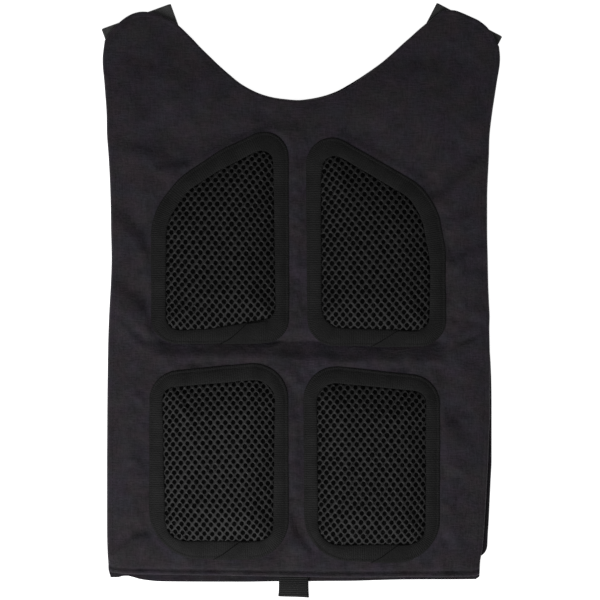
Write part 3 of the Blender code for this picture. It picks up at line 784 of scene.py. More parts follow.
def tuck_height(x, y):
    """Depth of the tuck between the upper and the lower pads, and the bulge that ends it."""
    side = smooth((x - TUCK["rise_from"]) / TUCK["rise_ease"])
    rise = TUCK["rise_left"] + (TUCK["rise_right"] - TUCK["rise_left"]) * side
    below = (TUCK["y"] - y) / rise
    rounded = 1.0 - np.sin(0.5 * math.pi * np.clip(below, 0.0, 1.0))
    straight = 1.0 - np.clip(below * 1.02, 0.0, 1.0)
    middle = np.exp(-(((x - TUCK["middle"]) / TUCK["wide"]) ** 2))
    low = rounded * (1.0 - middle) + TUCK["middle_depth"] * straight * middle
    high = (1.0 - smooth((y - TUCK["y"]) / TUCK["fall"])) * (1.0 + TUCK["middle_more"] * middle)
    ends = smooth((x - TUCK["left"]) / TUCK["ease"]) * smooth((TUCK["right"] - x) / TUCK["ease"])
    uneven = 1.0 + TUCK["right_more"] * side + TUCK["uneven"] * soft_noise(x, np.zeros_like(x), 0.020, 17)
    from_bulge = (y - TUCK["y"] + TUCK["bulge_place"] * rise) / TUCK["bulge_wide"]
    bulge = TUCK["bulge"] * np.exp(-(from_bulge**2)) * (1.0 - 0.5 * middle)
    return (bulge - TUCK["depth"] * np.where(below > 0, low, high)) * ends * uneven


print("tuck", TUCK["depth"] * 1000, "mm deep, bulge", TUCK["bulge"] * 1000, "mm high")

# %% [markdown]
# Near its seam the cloth turns over in about 2 mm and then goes on rising softly for 30 mm. The soft share
# is larger below the waist and small over the chest, and at the low right the turn is narrower, above the
# wing.

# %% Rise from the seams
EDGE_ROLL = 0.0015
EDGE_RISE = 0.030
EDGE_CURVE = 1.8
TURN_WIDE = 0.0023
TURN_LOW_RIGHT = {"less": 0.45, "x": 0.1, "y": -0.020, "ease": 0.020}
SOFT_SHARE = 0.54
SOFT_WAIST = {"more": 0.10, "y": -0.030, "ease": 0.040}
SOFT_CHEST = {"less": 0.9, "y": 0.085, "x": 0.140, "ease": 0.050}


def rise_from_seam(x, y, to_seam):
    """Share of the full height at each place, from 0 at the seam to 1."""
    narrower = TURN_LOW_RIGHT["less"] * (x > TURN_LOW_RIGHT["x"])
    narrower = narrower * smooth((TURN_LOW_RIGHT["y"] - y) / TURN_LOW_RIGHT["ease"])
    turn_wide = TURN_WIDE * (1.0 - narrower)
    turned = np.sqrt(1.0 - (1.0 - np.clip(to_seam / turn_wide, 0.0, 1.0)) ** 2)
    chest = SOFT_CHEST["less"] * smooth((y - SOFT_CHEST["y"]) / SOFT_CHEST["ease"])
    chest = chest * smooth((SOFT_CHEST["x"] - np.abs(x)) / SOFT_CHEST["ease"])
    lower = SOFT_SHARE + SOFT_WAIST["more"] * smooth((SOFT_WAIST["y"] - y) / SOFT_WAIST["ease"])
    soft = lower * (1.0 - chest)
    return (1.0 - soft) * turned + soft * (1.0 - (1.0 - np.clip(to_seam / EDGE_RISE, 0.0, 1.0)) ** EDGE_CURVE)


def edge_curl(to_seam, to_hem):
    """How far the rounded edge lies below the flat, down to nothing further in than the roll."""
    roll = np.minimum(np.minimum(to_seam, np.maximum(to_hem, 0.0)), EDGE_ROLL)
    return EDGE_ROLL - np.sqrt(np.maximum(EDGE_ROLL**2 - (EDGE_ROLL - roll) ** 2, 0.0))


print("edge turns over in", TURN_WIDE * 1000, "mm")

# %% Cloth round the pads
FREE_OF_PAD = {"from": -0.0002, "ease": 0.0045}
BESIDE_PAD = {"from": 0.0030, "ease": 0.0026}
PUCKER = {"high": 0.00026, "round": 44, "stray": 3.0, "size": 0.03, "reach": 0.009, "under": 0.002}


def round_the_pads(x, y):
    """Masks of the cloth that is free of the pads and of that beside them, and the puckers along the tape."""
    free = np.ones_like(x)
    beside = np.ones_like(x)
    pucker = np.zeros_like(x)
    for pad in PADS:
        depth = depth_in(pad, "tape", x, y)
        free *= smooth((-depth + FREE_OF_PAD["from"]) / FREE_OF_PAD["ease"])
        beside *= smooth((-depth + BESIDE_PAD["from"]) / BESIDE_PAD["ease"])
        close = np.exp(-np.maximum(-depth, 0.0) / PUCKER["reach"]) * (depth < PUCKER["under"])
        angle = np.arctan2(y - pad["y"], x - pad["x"])
        stray = PUCKER["stray"] * soft_noise(x, y, PUCKER["size"], pad["seed"])
        pucker += PUCKER["high"] * close * np.sin(angle * PUCKER["round"] + stray)
    return free, beside, pucker


print("puckers:", PUCKER["round"], "round each pad")

# %% Height of the body side
SHOULDER_TAPER = {"less": 0.86, "y": 0.145, "ease": 0.100}
SHOULDER_SINK = {"deep": 0.0008, "y": 0.190, "ease": 0.030}
HEM_DIP = {"deep": 0.0016, "wide": 0.015}
BROAD_HILLS = {"high": 0.00065, "size": 0.021, "seed": 5}
SMALL_HILLS = {"high": 0.00030, "size": 0.009, "seed": 6}
LIP_RIPPLE = {"high": 0.00014, "size": 0.0042, "seed": 8, "past": 0.002}
SEAM_GROOVE = {"deep": 0.00012, "deeper_right": 0.00014, "right": 0.1, "ease": 0.03, "wide": 0.0012}
HEM_STITCH = 0.0045
HEM_GROOVE = {"deep": 0.0012, "wide": 0.0009, "lip": 0.0005}
WRINKLE_EASE = 0.020


def hills(x, y, kind):
    """Soft unevenness of one kind."""
    return kind["high"] * soft_noise(x, y, kind["size"], kind["seed"])


def body_side(x, y):
    """Height of the body side's top, and the mask that keeps simulated wrinkles off pads and seams."""
    to_seam = distance_to(SEAM_PATH, x, y)
    to_hem = y - along(BODY_HEM, "x", "y", x)
    rise = rise_from_seam(x, y, to_seam)
    taper = 1.0 - SHOULDER_TAPER["less"] * smooth((y - SHOULDER_TAPER["y"]) / SHOULDER_TAPER["ease"])
    height = (CREST - SEAM_TOP) * taper - HEM_DIP["deep"] * smooth(1.0 - to_hem / HEM_DIP["wide"])
    free, beside, pucker = round_the_pads(x, y)
    height = height + crease_height(x, y) * free + tuck_height(x, y) * beside
    height = height + free * (pucker + (hills(x, y, BROAD_HILLS) + hills(x, y, SMALL_HILLS)))
    top = SEAM_TOP + rise * height
    lip = smooth(1.0 - to_seam / (SEAM_LIP + LIP_RIPPLE["past"]))
    top += LIP_RIPPLE["high"] * lip * soft_noise(x + y, x - y, LIP_RIPPLE["size"], LIP_RIPPLE["seed"])
    on_right = smooth((x - SEAM_GROOVE["right"]) / SEAM_GROOVE["ease"])
    deep = SEAM_GROOVE["deep"] + SEAM_GROOVE["deeper_right"] * on_right
    top -= deep * np.exp(-(((to_seam - SEAM_LIP) / SEAM_GROOVE["wide"]) ** 2))
    top -= HEM_GROOVE["deep"] * np.exp(-(((to_hem - HEM_STITCH) / HEM_GROOVE["wide"]) ** 2))
    top += HEM_GROOVE["lip"] * smooth(1.0 - to_hem / HEM_STITCH)
    top -= SHOULDER_SINK["deep"] * smooth((y - SHOULDER_SINK["y"]) / SHOULDER_SINK["ease"])
    top -= edge_curl(to_seam, to_hem)
    return top, free * smooth((to_seam - SEAM_LIP) / WRINKLE_EASE)


print("crest of the body side", round(CREST * 1000, 1), "mm up")

# %% [markdown]
# The grid's lines crowd together near the edges, where the cloth turns over in a millimetre or two, and in
# the tuck, and are about 2 mm apart elsewhere. Every column runs from the hem to the top edge, so the scoop
# of the neck needs no cut, and the rows are straight at the tuck.

# %% Grid of a wall
WALL_WIDE = 0.330
WALL_LONG = 0.470
EDGE_LINES = (0.0, 0.00012, 0.00045, 0.0009, 0.0015, 0.0026, 0.0034, 0.0046, 0.0056, 0.0072)
ROW_FOLD = {"y": -0.0450, "share": 0.40, "below": 0.1923, "above": 0.2940, "reach": 0.0150, "spacing": 0.0011}


def line_shares(length, spacing):
    """Shares from 0 to 1 of grid lines across a wall, crowded at both edges."""
    near = np.array(EDGE_LINES)
    count = round((length - 2 * near[-1]) / spacing)
    inner = np.linspace(near[-1], length - near[-1], count + 1)[1:-1]
    return np.concatenate((near, inner, length - near[::-1])) / length


def row_shares(spacing):
    """Shares from 0 to 1 of a wall's rows, crowded at the hem, at the tuck and at the top edge."""
    near = np.array(EDGE_LINES)
    below, above, reach = ROW_FOLD["below"], ROW_FOLD["above"], ROW_FOLD["reach"]
    fine = np.arange(0.0, reach, ROW_FOLD["spacing"])
    coarse = np.linspace(near[-1], below - reach, round((below - reach - near[-1]) / spacing) + 1)[1:]
    low = np.concatenate((near, coarse, below - fine[:0:-1])) / below * ROW_FOLD["share"]
    coarse = np.linspace(reach, above - near[-1], round((above - reach - near[-1]) / spacing) + 1)[:-1]
    high = np.concatenate((fine, coarse, above - near[::-1])) / above
    return np.concatenate((low, ROW_FOLD["share"] + high * (1.0 - ROW_FOLD["share"])))


def wall_points(across, up, hem):
    """Places on a wall for shares of its width and height."""
    left_top, right_top = TOP["x"][0], TOP["x"][-1]
    top_y = along(TOP, "x", "y", left_top + across * (right_top - left_top))
    left_low, right_low = SIDES["left"][0], SIDES["right"][0]
    low_y = along(hem, "x", "y", left_low + across * (right_low - left_low))
    share, fold = ROW_FOLD["share"], ROW_FOLD["y"]
    below = low_y + up / share * (fold - low_y)
    above = fold + (up - share) / (1 - share) * (top_y - fold)
    y = np.where(up < share, below, above)
    left, right = along(SIDES, "y", "left", y), along(SIDES, "y", "right", y)
    return left + across * (right - left), y


def new_piece(name, vertices, faces, material):
    """Mesh object from points and faces, smooth shaded, riding on the vest."""
    mesh = bpy.data.meshes.new(name)
    mesh.from_pydata([tuple(v) for v in vertices], [], [tuple(int(i) for i in face) for face in faces])
    mesh.update()
    mesh.shade_smooth()
    mesh.materials.append(material)
    piece = bpy.data.objects.new(name, mesh)
    bpy.context.scene.collection.objects.link(piece)
    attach(piece, "root")
    return piece


def face_outwards(piece, join=0.0):
    """Turns all faces of a piece outwards, after joining points closer together than the distance given."""
    shape = bmesh.new()
    shape.from_mesh(piece.data)
    if join:
        bmesh.ops.remove_doubles(shape, verts=shape.verts, dist=join)
        bmesh.ops.dissolve_degenerate(shape, edges=shape.edges, dist=1e-6)
    bmesh.ops.recalc_face_normals(shape, faces=shape.faces)
    shape.to_mesh(piece.data)
    shape.free()
    piece.data.shade_smooth()
    return piece


def grid_faces(columns, rows, wrap=False):
    """Quads of a grid whose points run row by row. With wrap, the last row meets the first."""
    faces = []
    for row in range(rows if wrap else rows - 1):
        above = (row + 1) % rows
        for column in range(columns - 1):
            a, b = row * columns + column, row * columns + column + 1
            faces.append((a, b, above * columns + column + 1, above * columns + column))
    return faces


def thick_sheet(name, columns, rows, top, bottom, material):
    """Closed cloth piece from the grid of its top and the grid of its underside."""
    faces = grid_faces(columns, rows)
    count = columns * rows
    under = [tuple(count + i for i in reversed(face)) for face in faces]
    rim = list(range(columns)) + [row * columns + columns - 1 for row in range(1, rows)]
    rim += list(range(columns * rows - 2, columns * (rows - 1) - 1, -1))
    rim += [row * columns for row in range(rows - 2, 0, -1)]
    sides = [(b, a, count + a, count + b) for a, b in zip(rim, rim[1:] + rim[:1])]
    return new_piece(name, np.concatenate((top, bottom)), faces + under + sides, material)


print("edge lines:", len(EDGE_LINES))

# %% [markdown]
# ### Wrinkles from a cloth simulation
#
# Real cloth that is a little larger than what it is sewn to buckles into soft wrinkles. That is simulated
# on a coarse grid: the cloth is told to grow by about one percent while the points under the pads and along
# the seams are pinned. Only the change in height is kept, limited to about a millimetre, and laid over the
# fine grid. Less of it is kept at the shoulders and in the tuck, where the photograph shows the cloth
# smooth.

# %% Simulate the wrinkles
WRINKLE_STEP = 0.0060
WRINKLE_FRAMES = 16
WRINKLE_LIMIT = 0.0011
GROWTH = -0.012
HELD_BY_PINS = 0.97
FIRST_ROUGHNESS = {"high": 0.0003, "size": 0.012, "seed": 21}


def simulated_wrinkles():
    """Heights that the cloth buckles by, on a coarse grid of shares: (across, up, heights)."""
    across = np.linspace(0.0, 1.0, round(WALL_WIDE / WRINKLE_STEP) + 1)
    up = np.linspace(0.0, 1.0, round(WALL_LONG / WRINKLE_STEP) + 1)
    a, u = (grid.ravel() for grid in np.meshgrid(across, up))
    x, y = wall_points(a, u, BODY_HEM)
    z, free = body_side(x, y)
    mesh = bpy.data.meshes.new("wrinkle_cloth")
    start = np.stack((x, y, z + hills(x, y, FIRST_ROUGHNESS) * free), axis=1)
    mesh.from_pydata([tuple(v) for v in start], [], grid_faces(len(across), len(up)))
    cloth = bpy.data.objects.new("wrinkle_cloth", mesh)
    bpy.context.scene.collection.objects.link(cloth)
    pins = cloth.vertex_groups.new(name="sewn")
    for index, share in enumerate(free):
        pins.add([index], float(1.0 - HELD_BY_PINS * share), "REPLACE")
    settings = cloth.modifiers.new("cloth", "CLOTH").settings
    settings.vertex_group_mass = "sewn"
    settings.quality = 6
    settings.mass = 0.25
    settings.tension_stiffness = 30
    settings.compression_stiffness = 30
    settings.bending_stiffness = 0.6
    settings.shrink_min = GROWTH
    settings.effector_weights.gravity = 0.0
    scene = bpy.context.scene
    for number in range(1, WRINKLE_FRAMES + 1):
        scene.frame_set(number)
    seen = cloth.evaluated_get(bpy.context.evaluated_depsgraph_get())
    moved = np.array([tuple(v.co) for v in seen.data.vertices])[:, 2] - z
    scene.frame_set(1)
    bpy.data.objects.remove(cloth)
    moved = np.clip(moved * free, -WRINKLE_LIMIT, WRINKLE_LIMIT)
    return across, up, moved.reshape(len(up), len(across))


def read_grid(table, across, up):
    """Smoothly reads a grid of heights at shares of its width and height."""
    grid_across, grid_up, heights = table
    u = np.clip(across, 0, 1) * (len(grid_across) - 1)
    v = np.clip(up, 0, 1) * (len(grid_up) - 1)
    i, j = np.minimum(u.astype(int), len(grid_across) - 2), np.minimum(v.astype(int), len(grid_up) - 2)
    s, t = smooth(u - i), smooth(v - j)
    low = heights[j, i] * (1 - s) + heights[j, i + 1] * s
    high = heights[j + 1, i] * (1 - s) + heights[j + 1, i + 1] * s
    return low * (1 - t) + high * t


wrinkles = simulated_wrinkles()
print("wrinkles up to", round(float(np.abs(wrinkles[2]).max()) * 1000, 2), "mm")

# %% Body-side wall
WALL_SPACING = 0.0021
WALL_THICK = 0.0013
EDGE_THICK = 0.0002
THICK_FROM = 0.0020
CALM_TUCK = {"less": 0.75, "below": 0.008, "wide": 0.014}
CALM_SHOULDERS = {"less": 0.6, "y": 0.080, "ease": 0.050}


def wrinkle_share(y):
    """Share of the simulated wrinkles that is kept: less at the shoulders, and little in the tight tuck."""
    in_tuck = np.exp(-(((y - TUCK["y"] + CALM_TUCK["below"]) / CALM_TUCK["wide"]) ** 2))
    at_shoulders = smooth((y - CALM_SHOULDERS["y"]) / CALM_SHOULDERS["ease"])
    return (1.0 - CALM_SHOULDERS["less"] * at_shoulders) * (1.0 - CALM_TUCK["less"] * in_tuck)


def add_body_side():
    """The body-side wall, about 1.5 mm thick, with its turned edge and its wrinkles."""
    across, up = line_shares(WALL_WIDE, WALL_SPACING), row_shares(WALL_SPACING)
    a, u = (grid.ravel() for grid in np.meshgrid(across, up))
    x, y = wall_points(a, u, BODY_HEM)
    z, free = body_side(x, y)
    z += read_grid(wrinkles, a, u) * free * wrinkle_share(y)
    top = np.stack((x, y, z), axis=1)
    to_seam = distance_to(SEAM_PATH, x, y)
    under = WALL_THICK * smooth(to_seam / THICK_FROM) + EDGE_THICK
    bottom = np.stack((x * 0.998, y, z - under), axis=1)
    piece = thick_sheet("body_side_cloth", len(across), len(up), top, bottom, CLOTH_FINISH)
    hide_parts("inner_panel")
    return piece


body_cloth = add_body_side()
body_tree = BVHTree.FromObject(body_cloth, bpy.context.evaluated_depsgraph_get())
print(body_cloth.name, len(body_cloth.data.polygons), "faces")


def ground(tree, x, y, default):
    """Height of the topmost surface at a place."""
    hit = tree.ray_cast(Vector((float(x), float(y), 1.0)), Vector((0.0, 0.0, -1.0)))
    return hit[0].z if hit[0] else default

# %% [markdown]
# ## Stitches
#
# A stitch is a short, fat bit of thread that dives into the cloth at both ends. Each one here is a small
# closed capsule, bent down at its ends, and a row of them is one mesh. They follow a path on the surface
# below, found by dropping a ray on it, and lie half sunk in it, as a tight stitch does.

# %% Rows of stitches
STITCH = 0.0027
STITCH_GAP = 0.0006
THREAD = 0.00020
THREAD_FLATTER = 1.15
STITCH_SLANT = 0.05
SLANT_TURN = 2.4
STITCH_SIDES = 6
STITCH_RINGS = (
    {"share": 0.00, "girth": 0.25, "up": -1.2},
    {"share": 0.18, "girth": 0.95, "up": -0.6},
    {"share": 0.50, "girth": 1.00, "up": -0.3},
    {"share": 0.82, "girth": 0.95, "up": -0.6},
    {"share": 1.00, "girth": 0.25, "up": -1.2},
)


def walk(path, spacing):
    """Points and directions at even steps along a path."""
    steps = np.linalg.norm(np.diff(path, axis=0), axis=1)
    distance = np.concatenate(((0.0,), np.cumsum(steps)))
    at = np.arange(spacing / 2, distance[-1], spacing)
    points = np.stack([np.interp(at, distance, path[:, axis]) for axis in (0, 1)], axis=1)
    ahead = np.stack([np.interp(at + 0.0005, distance, path[:, axis]) for axis in (0, 1)], axis=1)
    ways = ahead - points
    lengths = np.maximum(np.linalg.norm(ways, axis=1, keepdims=True), 1e-9)
    return points[:-1], (ways / lengths)[:-1]


def add_stitches(name, path, height_of):
    """Row of stitches along a path of (x, y) points."""
    points, ways = walk(path, STITCH + STITCH_GAP)
    vertices, faces, sides = [], [], STITCH_SIDES
    for number, (point, way) in enumerate(zip(points, ways)):
        slant = STITCH_SLANT * math.sin(number * SLANT_TURN)
        way = np.array((way[0] - slant * way[1], way[1] + slant * way[0]))
        across = np.array((-way[1], way[0]))
        start = len(vertices)
        for ring in STITCH_RINGS:
            spot = point + way * (ring["share"] - 0.5) * STITCH
            base = height_of(*spot) + THREAD * ring["up"]
            for side in range(sides):
                angle = math.tau * side / sides
                offset = across * math.cos(angle) * THREAD * ring["girth"] * THREAD_FLATTER
                lift = math.sin(angle) * THREAD * ring["girth"]
                vertices.append((spot[0] + offset[0], spot[1] + offset[1], base + lift))
        for number_along in range(len(STITCH_RINGS) - 1):
            first = start + number_along * sides
            for side in range(sides):
                a, b = first + side, first + (side + 1) % sides
                faces.append((a, a + sides, b + sides, b))
        last = start + (len(STITCH_RINGS) - 1) * sides
        faces.append(tuple(start + side for side in range(sides)))
        faces.append(tuple(last + side for side in reversed(range(sides))))
    new_piece(name, vertices, faces, THREAD_FINISH)
    print(name, len(points), "stitches")


def inset_path(path, inset):
    """A path moved sideways to its right, such as a stitch line inside a seam that runs clockwise."""
    ways = np.gradient(path, axis=0)
    ways /= np.maximum(np.linalg.norm(ways, axis=1, keepdims=True), 1e-9)
    window = np.ones(9) / 9
    for axis in (0, 1):
        padded = np.concatenate((np.repeat(ways[:1, axis], 4), ways[:, axis], np.repeat(ways[-1:, axis], 4)))
        ways[:, axis] = np.convolve(padded, window, "valid")
    ways /= np.maximum(np.linalg.norm(ways, axis=1, keepdims=True), 1e-9)
    return path + np.stack((ways[:, 1], -ways[:, 0]), axis=1) * inset


seam_line = inset_path(SEAM_PATH, SEAM_LIP)
add_stitches("seam_stitches", seam_line, lambda x, y: ground(body_tree, x, y, SEAM_TOP))
hem_x = np.linspace(SIDES["left"][0] + 0.006, SIDES["right"][0] - 0.006, 200)
hem_path = np.stack((hem_x, along(BODY_HEM, "x", "y", hem_x) + HEM_STITCH), axis=1)
add_stitches("hem_stitches", hem_path, lambda x, y: ground(body_tree, x, y, CREST))

# %% [markdown]
# ## The outer wall
#
# This is the side that faces out when the vest is worn. It lies on the floor in the middle and rides up
# over the folded wings and straps, and it shows in the photograph only as a second hem a few millimetres
# below the first. Its edge turns up to meet the body side, and its hem has its own fold and stitch line.

# %% Outer wall
STRAP_WIDTH = 0.0635
STRAP_LENGTH = 0.088
STRAPS = (
    {"name": "shoulder_strap_left", "x": -0.1432, "y": 0.2456, "turn": 20.1},
    {"name": "shoulder_strap_right", "x": 0.1446, "y": 0.2428, "turn": -27.4},
)
WING_TOP = -0.022
WING_BOTTOM = -0.2208
WING_INNER = 0.067
LIFT_FLAT = 0.017
LIFT_RAMP = 0.030
FACE_SPACING = 0.0045
FACE_THICK = 0.0014
FACE_HEM_FOLD = {"stitch": 0.006, "thicker": 0.0004}
FACE_GROOVE = {"deep": 0.0003, "wide": 0.0009}
FACE_RIPPLE = {"high": 0.0005, "size": 0.028, "seed": 31, "ease": 0.03}
HEM_RIPPLE = {"high": 0.0004, "size": 0.019, "seed": 32, "longer": 0.3, "ease": 0.03}


def strap_frame(strap, x, y):
    """Place on a strap as (sideways from its middle, down from its folded edge)."""
    turn = math.radians(strap["turn"])
    dx, dy = x - strap["x"], y - strap["y"]
    return dx * math.cos(turn) + dy * math.sin(turn), dx * math.sin(turn) - dy * math.cos(turn)


def outer_side(x, y):
    """Height of the outer wall's underside."""
    to_seam = distance_to(SEAM_PATH, x, y)
    lift = smooth(1.0 - (to_seam - LIFT_FLAT) / LIFT_RAMP)
    across = smooth((np.abs(x) - WING_INNER + LIFT_FLAT + LIFT_RAMP) / LIFT_RAMP)
    lift = np.maximum(lift, across * smooth((WING_TOP + LIFT_FLAT + LIFT_RAMP - y) / LIFT_RAMP))
    for strap in STRAPS:
        side, down = strap_frame(strap, x, y)
        outside = np.hypot(np.maximum(np.abs(side) - STRAP_WIDTH / 2, 0), np.maximum(down - STRAP_LENGTH, 0))
        lift = np.maximum(lift, smooth(1.0 - (outside - LIFT_FLAT) / LIFT_RAMP))
    return EDGE_LIFT * lift, to_seam


def add_outer_side():
    """The outer wall, with its edge turned up and its hem folded."""
    across, up = line_shares(WALL_WIDE, FACE_SPACING), line_shares(WALL_LONG, FACE_SPACING)
    a, u = (grid.ravel() for grid in np.meshgrid(across, up))
    x, y = wall_points(a, u, FACE_HEM)
    z, to_seam = outer_side(x, y)
    to_hem = y - along(FACE_HEM, "x", "y", x)
    inwards = smooth(to_seam / FACE_RIPPLE["ease"])
    ripple = FACE_RIPPLE["high"] * (1 + soft_noise(x, y, FACE_RIPPLE["size"], FACE_RIPPLE["seed"])) * inwards
    drawn_out = soft_noise(x, y * HEM_RIPPLE["longer"], HEM_RIPPLE["size"], HEM_RIPPLE["seed"])
    ripple += HEM_RIPPLE["high"] * drawn_out * smooth(1 - to_hem / HEM_RIPPLE["ease"]) * inwards
    z = z + np.maximum(ripple, 0.0)
    curl = edge_curl(to_seam, to_hem)
    groove = FACE_GROOVE["deep"] * np.exp(-(((to_seam - SEAM_LIP) / FACE_GROOVE["wide"]) ** 2))
    from_stitch = (to_hem - FACE_HEM_FOLD["stitch"]) / FACE_GROOVE["wide"]
    groove += FACE_GROOVE["deep"] * np.exp(-(from_stitch**2))
    bottom = np.stack((x, y, z + curl * 0.85 + groove), axis=1)
    thick = FACE_THICK + FACE_HEM_FOLD["thicker"] * smooth(1.0 - to_hem / FACE_HEM_FOLD["stitch"])
    top = np.stack((x, y, z + np.maximum(thick - 0.1 * curl, curl * 0.85 + 0.0002)), axis=1)
    piece = thick_sheet("outer_side_cloth", len(across), len(up), top, bottom, FACE_FINISH)
    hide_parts("outer_panel")
    return piece


outer_cloth = add_outer_side()
print(outer_cloth.name, len(outer_cloth.data.polygons), "faces")

# %% [markdown]
# ## The mesh pads
#
# Spacer mesh is two knitted faces held apart by a springy pile, so a pad is a soft cushion under an open
# net. The cushion is made first: a thin slab of the pad's outline, remeshed into even small faces, then
# blown up by a short cloth simulation with its border and its underside pinned, so that it crowns as a sewn
# pad does.

# %% Cushions
PAD_CREST = 0.0078
CUSHION_VOXEL = 0.0035
CUSHION_FRAMES = 16
CUSHION_PRESSURE = 4.0
CUSHION_CAP = 0.0030
CUSHION_MARGIN = 0.0006
CUSHION_PINNED = 0.0012
CUSHION_RIM = 0.0008
CUSHION_CROWN = 0.82
CUSHION_RINGS = (0.0, 0.2, 0.4, 0.58, 0.72, 0.83, 0.91, 0.965, 1.0)
PAD_LEVELS = {
    "in": (0.0, 0.0015, 0.004, 0.008, 0.014, 0.022, 0.034),
    "up": (0.10, 0.26, 0.46, 0.66, 0.84, 0.95, 1.0),
}


def crown(depth):
    """Share of a pad's height at a distance in from the tape's inner edge."""
    return np.interp(depth, PAD_LEVELS["in"], PAD_LEVELS["up"])


def cushion_slab(pad):
    """Closed slab of the pad's outline, crowned a little, on a polar grid."""
    edge, _ = border(pad, "opening", -CUSHION_MARGIN, 0.004)
    centre = np.array((pad["x"], pad["y"]))
    vertices, count = [], len(edge)
    for share in CUSHION_RINGS[::-1]:
        ring = centre + (edge - centre) * max(share, 0.02)
        depth = np.maximum(depth_in(pad, "opening", ring[:, 0], ring[:, 1]), 0.0)
        for (x, y), up in zip(ring, crown(depth)):
            vertices.append((x, y, PAD_BASE + CUSHION_RIM + CUSHION_CROWN * PAD_CREST * up))
    floor_ring = [(x, y, PAD_BASE) for x, y in edge]
    faces = []
    for ring in range(len(CUSHION_RINGS) - 1):
        for index in range(count):
            a, b = ring * count + index, ring * count + (index + 1) % count
            faces.append((a, b, b + count, a + count))
    last = (len(CUSHION_RINGS) - 1) * count
    faces.append(tuple(last + i for i in range(count)))
    low = len(vertices)
    faces += [(b, a, low + a, low + b) for a, b in ((i, (i + 1) % count) for i in range(count))]
    faces.append(tuple(low + i for i in reversed(range(count))))
    return vertices + floor_ring, faces


def swell(piece):
    """Remeshes a cushion, blows it up a little with its underside pinned, and applies the result."""
    bpy.context.view_layer.objects.active = piece
    remesh = piece.modifiers.new("even faces", "REMESH")
    remesh.mode = "VOXEL"
    remesh.voxel_size = CUSHION_VOXEL / 2
    seen = piece.evaluated_get(bpy.context.evaluated_depsgraph_get())
    even = bpy.data.meshes.new_from_object(seen)
    piece.modifiers.clear()
    piece.data = even
    start = np.array([tuple(v.co) for v in even.vertices])
    pins = piece.vertex_groups.new(name="sewn")
    held = smooth(1.0 - (start[:, 2] - PAD_BASE - CUSHION_PINNED) / CUSHION_PINNED)
    for index, share in enumerate(held):
        pins.add([index], float(share), "REPLACE")
    settings = piece.modifiers.new("cloth", "CLOTH").settings
    settings.vertex_group_mass = "sewn"
    settings.quality = 6
    settings.mass = 0.2
    settings.tension_stiffness = 12
    settings.compression_stiffness = 12
    settings.bending_stiffness = 1.5
    settings.use_pressure = True
    settings.uniform_pressure_force = CUSHION_PRESSURE
    settings.effector_weights.gravity = 0.0
    for number in range(1, CUSHION_FRAMES + 1):
        bpy.context.scene.frame_set(number)
    seen = piece.evaluated_get(bpy.context.evaluated_depsgraph_get())
    moved = np.array([tuple(v.co) for v in seen.data.vertices]) - start
    bpy.context.scene.frame_set(1)
    piece.modifiers.clear()
    piece.vertex_groups.clear()
    size = np.linalg.norm(moved, axis=1, keepdims=True)
    moved *= np.minimum(1.0, CUSHION_CAP / np.maximum(size, 1e-9))
    start = start + moved
    start[:, 2] = np.minimum(start[:, 2], PAD_BASE + PAD_CREST)
    even.vertices.foreach_set("co", start.astype(np.float32).ravel())
    even.update()
    even.shade_smooth()
    piece.modifiers.new("finer", "SUBSURF").render_levels = 1
    return float(start[:, 2].max())


cushions = {}
for pad in PADS:
    slab_vertices, slab_faces = cushion_slab(pad)
    cushion_name = "mesh_cushion_" + pad["name"]
    cushion = new_piece(cushion_name, slab_vertices, slab_faces, DEPTHS_FINISH)
    highest = swell(cushion)
    cushion.data.materials.clear()
    cushion.data.materials.append(DEPTHS_FINISH)
    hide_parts("mesh_pad_" + pad["name"])
    cushions[pad["name"]] = cushion
    print(cushion.name, len(cushion.data.polygons), "faces, top at", round(highest * 1000, 1), "mm")

# %% [markdown]
# The open face is a net: holes in rows 4.2 mm apart, 6.6 mm from hole to hole, each row moved half a hole
# along. Between them two sets of slanting strands cross, and one set runs over the other. A picture of
# holes would look flat from the side, so every hole is modelled: its cell is a lozenge of the crossing
# strands' middle lines, from which the strand's rounded flank goes down to the hole. No two holes are quite
# alike. The net is laid over the cushion by dropping a ray on it, and ends just under the tape.

# %% Nets
HOLE_PITCH = 0.00655
ROW_PITCH = 0.00422
HOLE_RADIUS = 0.00158
HOLE_TALLER = 0.00024
STRAND_RINGS = (
    {"share": 0.00, "down": 0.0},
    {"share": 0.42, "down": 0.00005},
    {"share": 0.76, "down": 0.00030},
    {"share": 1.00, "down": 0.00090},
    {"share": 0.90, "down": 0.00165},
)
CELL_SIDES = 16
NET_MARGIN = 0.0030
NET_LIFT = 0.0007
STRAND_OVER = 0.00013
LIFT_FADE = 0.6
KNOT_OVER = 0.00018
SQUEEZE = 0.035
HOLE_ROWS, HOLE_COLUMNS = 24, 13
HOLE_VARIES = 0.08
HOLE_STRAYS = 0.00024
WIDEST_HOLE = 0.88
HALF_WIDE, HALF_TALL = 0.05, 0.07
SQUEEZE_TALL = 0.08
BOW, LEAN = 0.10, 0.04
NET_WAVES = {"high": 0.00012, "size": 0.008, "seed": 60}
NET_LOWEST = 0.0006
SPOTS_PER_METRE = 4000
KNOT_JOIN = 0.0003


def lozenge(angle):
    """Distance from a cell's middle to its lozenge border in a direction."""
    return 1.0 / (abs(math.cos(angle)) / (HOLE_PITCH / 2) + abs(math.sin(angle)) / ROW_PITCH)


